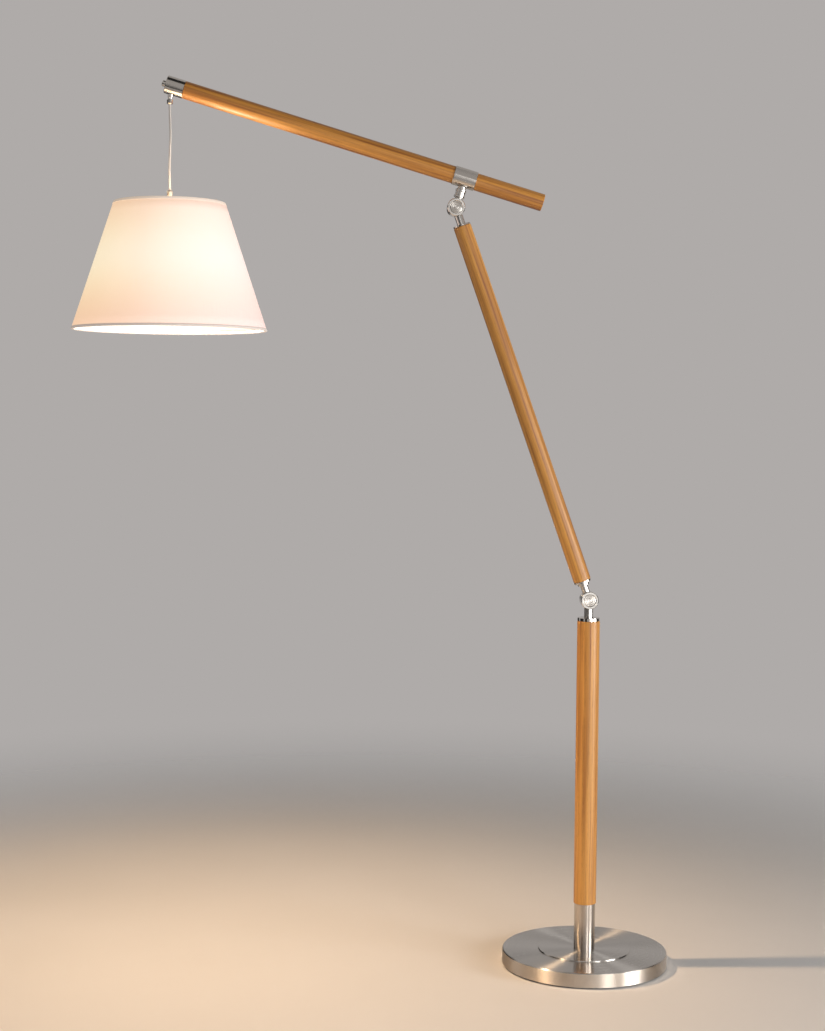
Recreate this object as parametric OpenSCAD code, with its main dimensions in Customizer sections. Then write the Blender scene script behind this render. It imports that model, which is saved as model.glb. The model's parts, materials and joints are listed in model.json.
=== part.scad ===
// Floor lamp with a weighted base, two knuckle joints, three wooden poles and a hanging fabric shade.
// Millimetres, +Z up. The origin is the centre of the underside of the base pad, on the floor.
// The arms lie in the XZ plane: the boom reaches to -X, and the faces of the knuckles look to -Y and +Y.

/* [Base] */
// Diameter of the base cover
base_d = 330; // [280:1:420]
// Height of the base cover's side
base_h = 28; // [28:0.5:40]
// Diameter of the raised centre disc
step_d = 185; // [150:1:220]
// Height of the raised centre disc above the rest of the cover
step_h = 2; // [1:0.5:4]
// Sheet thickness of the cover
cover_wall = 1.5; // [1:0.1:2.5]
// Radius of the cover's top edge
cover_edge_r = 3; // [2:0.5:5]
// Distance from the cover's side in to the pad under the base
pad_inset = 15; // [6:0.5:40]
// Thickness of the pad
pad_t = 3; // [2:0.5:5]
// Thickness of the cast weight, without its boss
weight_t = 22; // [21:0.5:24]
// Diameter of the weight's boss under the raised disc
boss_d = 140; // [80:1:145]
// Diameter of the recess for the nut under the weight
nut_recess_d = 50; // [36:1:60]
// Depth of the recess for the nut
nut_recess_h = 19; // [18:0.5:20]

/* [Post] */
// Diameter of the metal tube
tube_d = 42; // [38:0.5:45]
// Wall of the metal tube
tube_wall = 2; // [1:0.1:3]
// Length of the metal tube
tube_len = 92; // [60:1:160]
// Thickness of each locating plug in the tube
plug_t = 10; // [6:0.5:16]
// Diameter of the hollow threaded rod and nipples
nipple_d = 10; // [9:0.5:11]
// Bore of the rod, the nipples and the poles, for the wire
wire_bore_d = 7; // [6.8:0.1:7.2]
// Diameter of the wire
wire_d = 6.4; // [5.5:0.1:6.4]

/* [Poles] */
// Diameter of the lower pole
lower_pole_d = 45; // [42:0.5:55]
// Length of the lower pole
lower_pole_len = 570; // [300:1:800]
// Diameter of the middle pole
mid_pole_d = 35; // [28:0.5:45]
// Length of the middle pole
mid_pole_len = 740; // [600:1:900]
// Diameter of the boom
boom_d = 34; // [30:0.5:36]
// Length of the boom from the sleeve's centre to the capped end
boom_left = 608; // [500:1:800]
// Length of the boom from the sleeve's centre to the bare end
boom_right = 161; // [60:1:260]
// Bevel round the cut ends of the poles
pole_bevel = 1; // [0.5:0.1:2]
// Diameter of the cap spigots and of the threaded insert
spigot_d = 16; // [14:0.5:20]
// Length of the cap spigots and of the threaded insert
spigot_len = 26; // [18:1:40]

/* [Knuckles] */
// Lean of the middle pole from plumb, towards the shade
lean = 19.5; // [0:0.5:30]
// Rise of the boom from level, towards the shade
tilt = 16.5; // [0:0.5:30]
// Diameter of the drums
drum_d = 35; // [32:0.5:40]
// Width of the drums along their axle
drum_w = 30; // [28:0.5:36]
// Width of the raised rim round each face
rim_w = 5.7; // [3:0.1:6]
// Depth of the recess inside the rim
recess_h = 6; // [5.5:0.1:6.5]
// Bevel of the rim's edges
rim_bevel = 1.2; // [0.4:0.1:1.5]
// Diameter of the axle bolt
axle_d = 8; // [6:0.5:8]
// Thickness of the friction washer
washer_t = 1; // [0.8:0.1:1.5]
// Height of the bolt's head and of the nut
head_h = 3.8; // [3:0.1:4]
// Width of the bolt's head and of the nut across the flats
head_af = 13; // [11:0.5:14]
// Thickness of the face caps
face_cap_t = 1.1; // [0.8:0.1:1.2]
// Width of the turned grooves in the face caps
face_groove_w = 1.2; // [0.6:0.1:1.5]
// Depth of the turned grooves in the face caps
face_groove_h = 0.5; // [0.2:0.1:0.6]
// Diameter of the lower neck on the pole side
neck_d = 18; // [15:0.5:20]
// Diameter of the upper neck on the pole side
upper_neck_d = 17; // [15:0.5:20]
// Diameter of the necks on the arm side
arm_neck_d = 15; // [13:0.5:16]
// How far the caps stand back from the poles' sides
cap_inset = 0.25; // [0:0.05:1]
// Bevel of the caps' edges
cap_bevel = 0.6; // [0.3:0.1:1]
// Thickness of the lower pole's cap
lower_cap_t = 7; // [4:0.5:12]
// Thickness of the middle pole's bottom cap
mid_low_cap_t = 4; // [3:0.5:8]
// Thickness of the middle pole's top cap
mid_top_cap_t = 3.5; // [3:0.5:8]
// Distance from a pole's cap to the axle above it
neck_len = 35; // [34:0.5:50]
// Distance from the lower axle to the lock ring
arm_neck_len = 31.5; // [31:0.5:45]
// Diameter of the lock ring
lock_ring_d = 23; // [19:0.5:28]
// Thickness of the lock ring
lock_ring_t = 6; // [4:0.5:10]
// Length of a nipple inside a neck
nipple_grip = 12; // [8:0.5:12]

/* [Boom fittings] */
// Distance from the upper axle to the boom's centre line
boom_rise = 60; // [58:0.5:70]
// Diameter of the lock collar above the upper drum
collar_d = 21.5; // [19:0.5:26]
// Length of the lock collar
collar_len = 17.5; // [14:0.5:18]
// Outer diameter of the sleeve round the boom
sleeve_d = 38; // [37.2:0.1:42]
// Length of the sleeve
sleeve_len = 45; // [30:1:70]
// Outer diameter of the boom's end cap
end_cap_d = 35; // [34:0.1:36]
// Length of the boom's end cap
end_cap_len = 36; // [30:1:60]
// Wall of the boom's end cap
end_cap_wall = 1.5; // [1:0.1:2]
// Diameter of the screw knob on the end cap
knob_d = 12; // [8:0.5:16]
// How far the screw knob stands out
knob_h = 8; // [5:0.5:12]

/* [Hanger] */
// Distance from the boom's end to the hanger's centre line
hanger_inset = 14; // [13:0.5:20]
// Diameter of the hanger's fork and gland
hanger_d = 12; // [11:0.5:14]
// Distance from the end cap's underside to the hinge pin
pin_rise = 4.5; // [4.4:0.1:7]
// Diameter of the hinge pin
pin_d = 3; // [2:0.1:3.5]
// Thickness of the gland's tongue between the fork's cheeks
tongue_t = 5.2; // [4:0.1:6]
// Radius of the fork's cheeks round the pin
cheek_r = 4.2; // [3.8:0.1:4.3]
// Distance from the hinge pin to the top of the gland
gland_drop = 4.8; // [4.7:0.1:6]
// Diameter of the stop bead on the cord
stop_d = 8; // [7.8:0.1:8.4]
// Largest tilt of the cord in the gland
cord_tilt = 25; // [15:1:25]

/* [Pendant] */
// Diameter of the pendant cord
cord_d = 4.5; // [4:0.1:4.6]
// Height of the barrel-shaped cord grip
grip_h = 15; // [8:0.5:25]
// Diameter of the cord grip's barrel
grip_d = 11; // [8:0.5:15]
// Diameter of the lampholder
holder_d = 40; // [38:0.5:46]
// Length of the lampholder
holder_len = 62; // [56:1:80]
// Height of the lampholder's shoulder
shoulder_h = 12; // [8:0.5:14]
// Diameter of the bulb's screw cap
bulb_cap_d = 26.4; // [26:0.1:27]
// Length of the bulb's screw cap
bulb_cap_len = 25; // [22:0.5:27]
// Diameter of the bulb
bulb_d = 60; // [45:1:80]
// Length of the bulb's glass
bulb_len = 84; // [80:1:110]
// Wall of the bulb's glass
bulb_wall = 1.2; // [0.8:0.1:2]

/* [Shade] */
// Diameter of the shade's top
shade_top_d = 217; // [160:1:260]
// Diameter of the shade's bottom
shade_bottom_d = 380; // [300:1:450]
// Height of the shade
shade_h = 247; // [200:1:320]
// Distance from the top of the lampholder to the carrier of the shade's frame
carrier_drop = 28; // [24:0.5:32]
// Distance from the top of the lampholder to the shade's top
shade_drop = 10; // [6:0.5:12]
// Thickness of the fabric with its lining
fabric_t = 1; // [0.6:0.1:1.5]
// Height of the hem bands
hem_h = 4.5; // [3:0.5:10]
// Thickness of the hem bands
hem_t = 0.5; // [0.3:0.1:1]
// Diameter of the frame wires
frame_wire_d = 3.5; // [2.5:0.1:4]
// Diameter of the arms of the shade's frame
frame_arm_d = 3; // [2:0.1:3]
// Number of arms of the shade's frame
frame_arms = 3; // [3:1:4]

/* [Fits] */
// Clearance on the radius of a seated or turning round fit
slip = 0.05; // [0.02:0.01:0.1]
// Clearance between pieces that move past each other
run_gap = 0.4; // [0.3:0.1:0.5]
// Clearance between the faces of a knuckle's moving pieces
face_gap = 0.2; // [0.1:0.1:0.3]

/* [Hidden] */
$fn = 96;
eps = 0.01;

// Finishes
brushed_nickel = "#b9b4ab";
polished_nickel = "#d5d3ce";
oak = "#c88f4c";
brass = "#b8923f";
iron = "#4a4a4a";
rubber = "#262626";
white_plastic = "#ecebe6";
clear_cord = "#cfcdc8";
cloth = "#f3ede2";
hem_cloth = "#c9c4cc";

// Heights of the stand
cover_top_z = pad_t + base_h;
step_z = cover_top_z + step_h;
pole_z = step_z + tube_len;
cap_z = pole_z + lower_pole_len;
lower_neck_z = cap_z + lower_cap_t;
axle_z = lower_neck_z + neck_len;
recess_top_z = pad_t + nut_recess_h;
tie_washer_t = 2;
tie_nut_h = 5.5;
tie_nut_af = 17;
rod_end_z = recess_top_z - tie_washer_t - tie_nut_h - slip;
wire_run_z = rod_end_z - wire_d/2 - face_gap;
weight_gap = 1.5;
pad_d = base_d - 2*pad_inset;
weight_r = base_d/2 - cover_wall - weight_gap;
step_bevel = 1;
pad_bevel = 0.5;
bush_d = 10;
bush_flange_d = 14;
bush_flange_t = 2;
bush_len = 9;
bush_bevel = 0.8;
spanner_room = 6;
groove_w = wire_d + 1.6;

// Small forms of the knuckles
neck_overlap = 6;
split_bevel = 0.5;
washer_inset = 2.5;
ring_bevel = 0.8;
face_grooves = [0.72, 0.42];

// Distances along the middle arm, from the lower axle
ring_at = arm_neck_len;
mid_cap_at = ring_at + lock_ring_t;
mid_pole_at = mid_cap_at + mid_low_cap_t;
mid_top_cap_at = mid_pole_at + mid_pole_len;
upper_neck_at = mid_top_cap_at + mid_top_cap_t;
mid_len = upper_neck_at + neck_len;
upper_axle = [-mid_len*sin(lean), 0, axle_z + mid_len*cos(lean)];

// Places on the boom, from the upper axle
collar_at = drum_d/2 + 2;
collar_top_at = collar_at + collar_len;
end_x = -boom_left;
hanger_x = end_x + hanger_inset;
end_wall = 2;
sleeve_bevel = 0.5;
sleeve_stub_d = arm_neck_d + 1;
wood_end_x = end_x + end_wall;
end_tenon_d = end_cap_d - 2*end_cap_wall - 2*slip;
stem_d = nipple_d;
stem_depth = 10;
sleeve_nipple_top = boom_rise - wire_bore_d/2 - 2;
knob_screw_d = 4;
knob_screw_len = 9;
tongue_gap = 0.3;
pin_end = 0.3;
crown_gap = 1.5;
stem_root = 0.5;
cheek_root = 2;
hanger_pin_at = [hanger_x, 0, boom_rise - end_cap_d/2 - pin_rise];
hanger_pin_p = upper_axle + [
    hanger_pin_at[0]*cos(tilt) + hanger_pin_at[2]*sin(tilt),
    0,
    -hanger_pin_at[0]*sin(tilt) + hanger_pin_at[2]*cos(tilt)
];

// Hanger and pendant, down from the hinge pin
stop_gap = 0.15;
stop_seat_r = stop_d/2 + stop_gap;
stop_mouth_r = stop_seat_r*sin(cord_tilt + asin((cord_d/2 + stop_gap)/stop_seat_r));
stop_roof = 0.8;
stop_at = gland_drop + stop_roof + stop_seat_r;
gland_flare_h = 1.2;
gland_len = stop_at + sqrt(pow(stop_seat_r, 2) - pow(stop_mouth_r, 2)) + gland_flare_h - gland_drop;
stop_flat = 3;
gland_bevel = 0.6;

// Route of the pendant cord, from the middle of the stop bead down to the grip
cord_route = [
    [0, 0, -3], [0, 0, -12], [0.2, 0, -22], [0.6, 0, -32], [1.1, 0, -43], [1.5, 0, -54],
    [1.6, 0, -66], [1.4, 0, -78], [0.8, 0, -90], [0.2, 0, -102], [-0.2, 0, -114], [-0.4, 0, -126],
    [-0.3, 0, -138], [-0.1, 0, -149], [0, 0, -159], [0, 0, -169]
];
cord_sides = 8;
cord_end = -cord_route[len(cord_route) - 1][2];
holder_at = cord_end + grip_h;
shade_top_at = holder_at + shade_drop;
shade_bottom_at = shade_top_at + shade_h;
holder_foot_at = holder_at + holder_len;
carrier_at = holder_at + carrier_drop;
carrier_t = 2;
carrier_w = 9;
carrier_d = holder_d + 2*carrier_w;
arm_root = 1;
shade_ring_t = 6;
shade_ring_w = 6;
flange_t = 3;
flange_w = 3.5;
flange_d = holder_d + 2*flange_w;
socket_gap = 0.3;
socket_r = bulb_cap_d/2 + socket_gap;
socket_room = 3;
holder_bevel = 1;
grip_wall = 0.9;
grip_shoulder = 4;
grip_bevel = 0.6;
contact_h = 5;
contact_tip = 1;
shade_slope = (shade_bottom_d - shade_top_d)/2/shade_h;
bulb_r = bulb_d/2;
bulb_collar = 1.3;
bulb_neck_r = bulb_cap_d/2 + bulb_collar;

// A straight pipe along Z
module pipe(od, id, h) {
    difference() {
        cylinder(d = od, h = h);
        translate([0, 0, -eps]) cylinder(d = id, h = h + 2*eps);
    }
}

// A round bar with both ends bevelled
module bevelled_bar(d, h, bevel) {
    rotate_extrude() polygon([
        [0, 0], [d/2 - bevel, 0], [d/2, bevel], [d/2, h - bevel], [d/2 - bevel, h], [0, h]
    ]);
}

// A six-sided head or nut along Z
module hexagon(af, h) {
    cylinder(d = af/cos(30), h = h, $fn = 6);
}

// The frame of the middle arm: Z runs from the lower axle up the pole
module on_mid_arm() {
    translate([0, 0, axle_z]) rotate([0, -lean, 0]) children();
}

// The frame of the boom: the upper axle, X along the boom to its bare end, Z square to it
module on_boom() {
    translate(upper_axle) rotate([0, tilt, 0]) children();
}

// The boom's centre line: Z runs along it towards the bare end
module along_boom(x) {
    on_boom() translate([x, 0, boom_rise]) rotate([0, 90, 0]) children();
}

// The plumb line under the hinge pin, and under the stop bead
module under_pin() {
    translate(hanger_pin_p) children();
}
module under_stop() {
    under_pin() translate([0, 0, -stop_at]) children();
}

// Turns a shape made along Z so that it runs along +Y
module along_axle() {
    rotate([-90, 0, 0]) children();
}

// A disc cap with a spigot below it and a threaded hole through it
module pole_cap(d, t) {
    difference() {
        union() {
            bevelled_bar(d, t, cap_bevel);
            translate([0, 0, -spigot_len]) cylinder(d = spigot_d, h = spigot_len + eps);
        }
        translate([0, 0, -spigot_len - eps]) cylinder(d = nipple_d + 2*slip, h = spigot_len + t + 2*eps);
    }
}

// A hollow threaded nipple along Z
module nipple(h) {
    pipe(nipple_d, wire_bore_d, h);
}

// The bore of a pole with a counterbore for a spigot at its start
module spigot_bore(len) {
    translate([0, 0, -eps]) cylinder(d = wire_bore_d, h = len + 2*eps);
    translate([0, 0, -eps]) cylinder(d = spigot_d + 2*slip, h = spigot_len + 1);
}

// Half of a knuckle: a drum behind the XZ plane with a neck down to -Z, cut clear of the other half
module knuckle_half(d, len) {
    face = drum_w/2;
    rim_in = drum_d/2 - rim_w;
    floor_at = face - recess_h;
    bore_r = axle_d/2 + slip;
    neck_root = drum_d/2 - neck_overlap;
    difference() {
        union() {
            along_axle() rotate_extrude() polygon([
                [bore_r, washer_t/2], [drum_d/2 - split_bevel, washer_t/2],
                [drum_d/2, washer_t/2 + split_bevel],
                [drum_d/2, face - rim_bevel], [drum_d/2 - rim_bevel, face],
                [rim_in + rim_bevel, face], [rim_in, face - rim_bevel],
                [rim_in, floor_at], [bore_r, floor_at]
            ]);
            difference() {
                translate([0, 0, -len]) cylinder(d = d, h = len - neck_root);
                along_axle() translate([0, 0, floor_at]) cylinder(r = rim_in + eps, h = recess_h);
            }
        }
        along_axle() translate([0, 0, -drum_w]) cylinder(r = drum_d/2 + run_gap, h = drum_w + washer_t/2);
        translate([0, 0, -len - eps]) cylinder(d = nipple_d + 2*slip, h = nipple_grip + eps);
    }
}

// The axle bolt with its head in the rear recess
module axle_bolt() {
    floor_at = drum_w/2 - recess_h;
    along_axle() {
        translate([0, 0, -floor_at - face_gap - head_h])
            cylinder(d = axle_d, h = 2*floor_at + face_gap + head_h + eps);
        translate([0, 0, floor_at]) hexagon(head_af, head_h);
    }
}

// The axle nut in the front recess
module axle_nut() {
    along_axle() translate([0, 0, -(drum_w/2 - recess_h) - face_gap - head_h]) difference() {
        hexagon(head_af, head_h);
        translate([0, 0, -eps]) cylinder(d = axle_d + 2*slip, h = head_h + 2*eps);
    }
}

// The friction washer between the halves, bonded to the rear one
module friction_washer() {
    along_axle() translate([0, 0, face_gap - washer_t/2])
        pipe(drum_d - 2*washer_inset, axle_d + 4*slip, washer_t - face_gap);
}

// A bare round cap with turned grooves that fills the recess of the rear face
module face_cap() {
    r = drum_d/2 - rim_w - slip;
    back = drum_w/2 - recess_h + head_h + 2*face_gap;
    top = back + face_cap_t;
    grooves = [for (g = face_grooves) for (p = [[1, 0], [0, 1], [-1, 0]])
        [g*r + p[0]*face_groove_w/2, top - p[1]*face_groove_h]];
    along_axle() rotate_extrude() polygon(concat(
        [[0, back], [r, back], [r, back + face_cap_t/2], [r - face_cap_t, top]], grooves, [[0, top]]
    ));
}

// Base and post

module base_cover() {
    r = base_d/2;
    e = cover_edge_r;
    w = cover_wall;
    s = step_d/2;
    arc = [for (a = [0:15:90]) [r - e + e*cos(a), cover_top_z - e + e*sin(a)]];
    inner = [for (a = [90:-15:0]) [r - e + (e - w)*cos(a), cover_top_z - e + (e - w)*sin(a)]];
    rod_hole = nipple_d/2 + slip;
    color(brushed_nickel) difference() {
        rotate_extrude($fn = 180) polygon(concat(
            [[r, pad_t]], arc,
            [[s, cover_top_z], [s - step_bevel, step_z], [rod_hole, step_z],
             [rod_hole, step_z - w], [s - step_bevel - w, step_z - w], [s - w, cover_top_z - w]],
            inner, [[r - w, pad_t]]
        ));
        translate([0, 0, wire_run_z]) along_axle() translate([0, 0, r - bush_len])
            cylinder(d = bush_d, h = 2*bush_len);
    }
}

module base_weight() {
    color(iron) difference() {
        union() {
            translate([0, 0, pad_t]) cylinder(r = weight_r, h = weight_t);
            translate([0, 0, pad_t + weight_t - eps])
                cylinder(d = boss_d, h = step_z - cover_wall - pad_t - weight_t + eps);
        }
        translate([0, 0, pad_t - eps]) cylinder(d = nut_recess_d, h = nut_recess_h + eps);
        cylinder(d = nipple_d + 2*slip, h = step_z);
        translate([-groove_w/2, 0, pad_t - eps])
            cube([groove_w, base_d/2, wire_run_z + groove_w/2 - pad_t + eps]);
        translate([0, 0, wire_run_z]) along_axle() translate([0, 0, weight_r - bush_len])
            cylinder(d = bush_flange_d, h = 2*bush_len);
    }
}

module base_pad() {
    color(rubber) bevelled_bar(pad_d, pad_t, pad_bevel);
}

module inlet_bush() {
    color(rubber) translate([0, 0, wire_run_z]) difference() {
        union() {
            along_axle() translate([0, 0, base_d/2 - bush_len]) cylinder(d = bush_d - 2*slip, h = bush_len);
            difference() {
                along_axle() translate([0, 0, base_d/2 - bush_flange_t])
                    bevelled_bar(bush_flange_d, 2*bush_flange_t, bush_bevel);
                translate([0, 0, -bush_flange_d])
                    cylinder(d = base_d + 2*slip, h = 2*bush_flange_d, $fn = 180);
            }
        }
        along_axle() cylinder(d = wire_d + 2*slip, h = base_d);
    }
}

module tie_rod() {
    color(brass) translate([0, 0, rod_end_z]) nipple(pole_z + spigot_len - rod_end_z);
}

module tie_washer() {
    color(polished_nickel) translate([0, 0, recess_top_z - tie_washer_t])
        pipe(nut_recess_d - 2*spanner_room, nipple_d + 2*slip, tie_washer_t);
}

module tie_nut() {
    color(brass) translate([0, 0, recess_top_z - tie_washer_t - tie_nut_h]) difference() {
        hexagon(tie_nut_af, tie_nut_h);
        translate([0, 0, -eps]) cylinder(d = nipple_d + 2*slip, h = tie_nut_h + 2*eps);
    }
}

module post_tube() {
    color(brushed_nickel) translate([0, 0, step_z]) pipe(tube_d, tube_d - 2*tube_wall, tube_len);
}

module tube_plugs() {
    color(brass) for (z = [step_z, pole_z - plug_t])
        translate([0, 0, z]) pipe(tube_d - 2*tube_wall - 2*slip, nipple_d + 2*slip, plug_t);
}

module lower_insert() {
    color(brass) translate([0, 0, pole_z]) pipe(spigot_d, nipple_d + 2*slip, spigot_len);
}

module lower_pole() {
    color(oak) translate([0, 0, pole_z]) difference() {
        bevelled_bar(lower_pole_d, lower_pole_len, pole_bevel);
        spigot_bore(lower_pole_len);
        translate([0, 0, lower_pole_len]) mirror([0, 0, 1]) spigot_bore(lower_pole_len);
    }
}

module lower_pole_cap() {
    color(polished_nickel) translate([0, 0, cap_z]) pole_cap(lower_pole_d - 2*cap_inset, lower_cap_t);
}

module lower_nipple() {
    bottom = cap_z - spigot_len;
    color(brass) translate([0, 0, bottom]) nipple(lower_neck_z + nipple_grip - bottom);
}

module lower_wire() {
    color(clear_cord) {
        translate([0, 0, wire_run_z]) cylinder(d = wire_d, h = lower_neck_z + nipple_grip - wire_run_z);
        translate([0, 0, wire_run_z]) sphere(d = wire_d);
        translate([0, 0, wire_run_z]) along_axle() cylinder(d = wire_d, h = base_d/2);
    }
}

// Lower knuckle

module lower_knuckle_base() {
    color(polished_nickel) translate([0, 0, axle_z]) knuckle_half(neck_d, neck_len);
}

module lower_knuckle_bolt() {
    color(polished_nickel) translate([0, 0, axle_z]) axle_bolt();
}

module lower_knuckle_nut() {
    color(polished_nickel) translate([0, 0, axle_z]) axle_nut();
}

module lower_friction_washer() {
    color(rubber) translate([0, 0, axle_z]) friction_washer();
}

module lower_rear_face_cap() {
    color(polished_nickel) translate([0, 0, axle_z]) face_cap();
}

module lower_knuckle_arm() {
    color(polished_nickel) on_mid_arm() rotate([180, 0, 0]) knuckle_half(arm_neck_d, arm_neck_len);
}

module lower_front_face_cap() {
    color(polished_nickel) on_mid_arm() rotate([180, 0, 0]) face_cap();
}

// Middle arm

module lock_ring() {
    color(polished_nickel) on_mid_arm() translate([0, 0, ring_at]) difference() {
        bevelled_bar(lock_ring_d, lock_ring_t, ring_bevel);
        translate([0, 0, -eps]) cylinder(d = nipple_d + 2*slip, h = lock_ring_t + 2*eps);
    }
}

module mid_nipples() {
    low = ring_at - nipple_grip;
    top = mid_top_cap_at - spigot_len;
    color(brass) on_mid_arm() {
        translate([0, 0, low]) nipple(mid_pole_at + spigot_len - low);
        translate([0, 0, top]) nipple(upper_neck_at + nipple_grip - top);
    }
}

module mid_pole_bottom_cap() {
    color(polished_nickel) on_mid_arm() translate([0, 0, mid_pole_at]) mirror([0, 0, 1])
        pole_cap(mid_pole_d - 2*cap_inset, mid_low_cap_t);
}

module mid_pole() {
    color(oak) on_mid_arm() translate([0, 0, mid_pole_at]) difference() {
        bevelled_bar(mid_pole_d, mid_pole_len, pole_bevel);
        spigot_bore(mid_pole_len);
        translate([0, 0, mid_pole_len]) mirror([0, 0, 1]) spigot_bore(mid_pole_len);
    }
}

module mid_pole_top_cap() {
    color(polished_nickel) on_mid_arm() translate([0, 0, mid_top_cap_at])
        pole_cap(mid_pole_d - 2*cap_inset, mid_top_cap_t);
}

module mid_wire() {
    low = ring_at - nipple_grip;
    color(clear_cord) on_mid_arm() translate([0, 0, low])
        cylinder(d = wire_d, h = upper_neck_at + nipple_grip - low);
}

// Upper knuckle

module upper_knuckle_base() {
    color(polished_nickel) on_mid_arm() translate([0, 0, mid_len]) knuckle_half(upper_neck_d, neck_len);
}

module upper_knuckle_bolt() {
    color(polished_nickel) on_mid_arm() translate([0, 0, mid_len]) axle_bolt();
}

module upper_knuckle_nut() {
    color(polished_nickel) on_mid_arm() translate([0, 0, mid_len]) axle_nut();
}

module upper_friction_washer() {
    color(rubber) on_mid_arm() translate([0, 0, mid_len]) friction_washer();
}

module upper_rear_face_cap() {
    color(polished_nickel) on_mid_arm() translate([0, 0, mid_len]) face_cap();
}

module upper_knuckle_arm() {
    color(polished_nickel) on_boom() rotate([180, 0, 0]) knuckle_half(arm_neck_d, collar_top_at);
}

module upper_front_face_cap() {
    color(polished_nickel) on_boom() rotate([180, 0, 0]) face_cap();
}

// Boom

module lock_collar() {
    r = collar_d/2;
    groove = 0.8;
    bevel = 1.2;
    grip_from = collar_len*0.3;
    grip_to = collar_len*0.7;
    bore_r = arm_neck_d/2 + slip;
    color(polished_nickel) on_boom() translate([0, 0, collar_at]) rotate_extrude() polygon([
        [bore_r, 0], [r - bevel, 0], [r, bevel], [r, grip_from - groove], [r - groove, grip_from],
        [r - groove, grip_to], [r, grip_to + groove], [r, collar_len - bevel], [r - bevel, collar_len],
        [bore_r, collar_len]
    ]);
}

module sleeve_nipple() {
    low = collar_top_at - nipple_grip;
    color(brass) on_boom() translate([0, 0, low]) nipple(sleeve_nipple_top - low);
}

module boom_sleeve() {
    color(brushed_nickel) difference() {
        union() {
            along_boom(-sleeve_len/2) bevelled_bar(sleeve_d, sleeve_len, sleeve_bevel);
            on_boom() translate([0, 0, collar_top_at])
                cylinder(d = sleeve_stub_d, h = boom_rise - collar_top_at - boom_d/2);
        }
        along_boom(-sleeve_len) cylinder(d = boom_d + 2*slip, h = 2*sleeve_len);
        on_boom() translate([0, 0, collar_top_at - eps])
            cylinder(d = nipple_d + 2*slip, h = boom_rise - collar_top_at);
    }
}

module boom_pole() {
    color(oak) difference() {
        union() {
            along_boom(end_x + end_cap_len)
                bevelled_bar(boom_d, boom_left + boom_right - end_cap_len, pole_bevel);
            along_boom(wood_end_x) cylinder(d = end_tenon_d, h = end_cap_len);
        }
        along_boom(hanger_x - wire_bore_d/2) cylinder(d = wire_bore_d, h = wire_bore_d - hanger_x);
        on_boom() cylinder(d = nipple_d + 2*slip, h = boom_rise);
        on_boom() translate([hanger_x, 0, boom_rise - end_cap_d])
            cylinder(d = stem_d + 2*slip, h = end_cap_d);
        along_boom(end_x) cylinder(d = knob_screw_d + 2*slip, h = knob_screw_len + slip);
    }
}

module boom_end_cap() {
    r = end_cap_d/2;
    bore_r = r - end_cap_wall;
    bevel = 0.8;
    hole_r = knob_screw_d/2 + slip;
    color(brushed_nickel) difference() {
        along_boom(end_x) rotate_extrude() polygon([
            [hole_r, 0], [r - bevel, 0], [r, bevel], [r, end_cap_len], [bore_r, end_cap_len],
            [bore_r, end_wall], [hole_r, end_wall]
        ]);
        on_boom() translate([hanger_x, 0, boom_rise - end_cap_d])
            cylinder(d = stem_d + 2*slip, h = end_cap_d);
    }
}

module end_cap_knob() {
    r = knob_d/2;
    bevel = 1.5;
    color(polished_nickel) along_boom(end_x) rotate_extrude() polygon([
        [0, -knob_h], [r - bevel, -knob_h], [r, bevel - knob_h], [r, 0],
        [knob_screw_d/2, 0], [knob_screw_d/2, knob_screw_len], [0, knob_screw_len]
    ]);
}

module boom_wire() {
    low = collar_top_at - nipple_grip;
    color(clear_cord) {
        on_boom() translate([0, 0, low]) cylinder(d = wire_d, h = boom_rise - low);
        on_boom() for (x = [hanger_x, 0]) translate([x, 0, boom_rise]) sphere(d = wire_d);
        along_boom(hanger_x) cylinder(d = wire_d, h = -hanger_x);
        on_boom() translate([hanger_x, 0, boom_rise - end_cap_d/2]) cylinder(d = wire_d, h = end_cap_d/2);
    }
}

// Hanger

module hanger_fork() {
    pin_z = -end_cap_d/2 - pin_rise;
    crown_z = pin_z + crown_gap;
    slot_w = tongue_t + 2*tongue_gap;
    color(polished_nickel) on_boom() translate([hanger_x, 0, boom_rise]) difference() {
        union() {
            translate([0, 0, -end_cap_d/2 - stem_root]) cylinder(d = stem_d, h = stem_depth + stem_root);
            difference() {
                intersection() {
                    translate([0, 0, pin_z - cheek_r]) cylinder(d = hanger_d, h = cheek_r - pin_z);
                    union() {
                        translate([-hanger_d, -hanger_d, crown_z])
                            cube([2*hanger_d, 2*hanger_d, pin_rise + hanger_d/4 - crown_gap]);
                        translate([-cheek_r, -hanger_d, pin_z]) cube([2*cheek_r, 2*hanger_d, cheek_root]);
                        translate([0, -hanger_d, pin_z]) along_axle() cylinder(r = cheek_r, h = 2*hanger_d);
                    }
                }
                translate([-hanger_d, 0, 0]) rotate([0, 90, 0])
                    cylinder(d = end_cap_d + 2*slip, h = 2*hanger_d);
            }
        }
        translate([0, 0, -end_cap_d/2 - 2*stem_root]) cylinder(d = wire_bore_d, h = end_cap_d/2);
        translate([-hanger_d, -slot_w/2, pin_z - hanger_d])
            cube([2*hanger_d, slot_w, hanger_d + cheek_r]);
        translate([0, -hanger_d, pin_z]) along_axle() cylinder(d = pin_d + 2*slip, h = 2*hanger_d);
    }
}

module hanger_pin() {
    color(polished_nickel) under_pin() translate([0, -hanger_d/2 - pin_end, 0]) along_axle()
        bevelled_bar(pin_d, hanger_d + 2*pin_end, pin_end);
}

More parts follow.
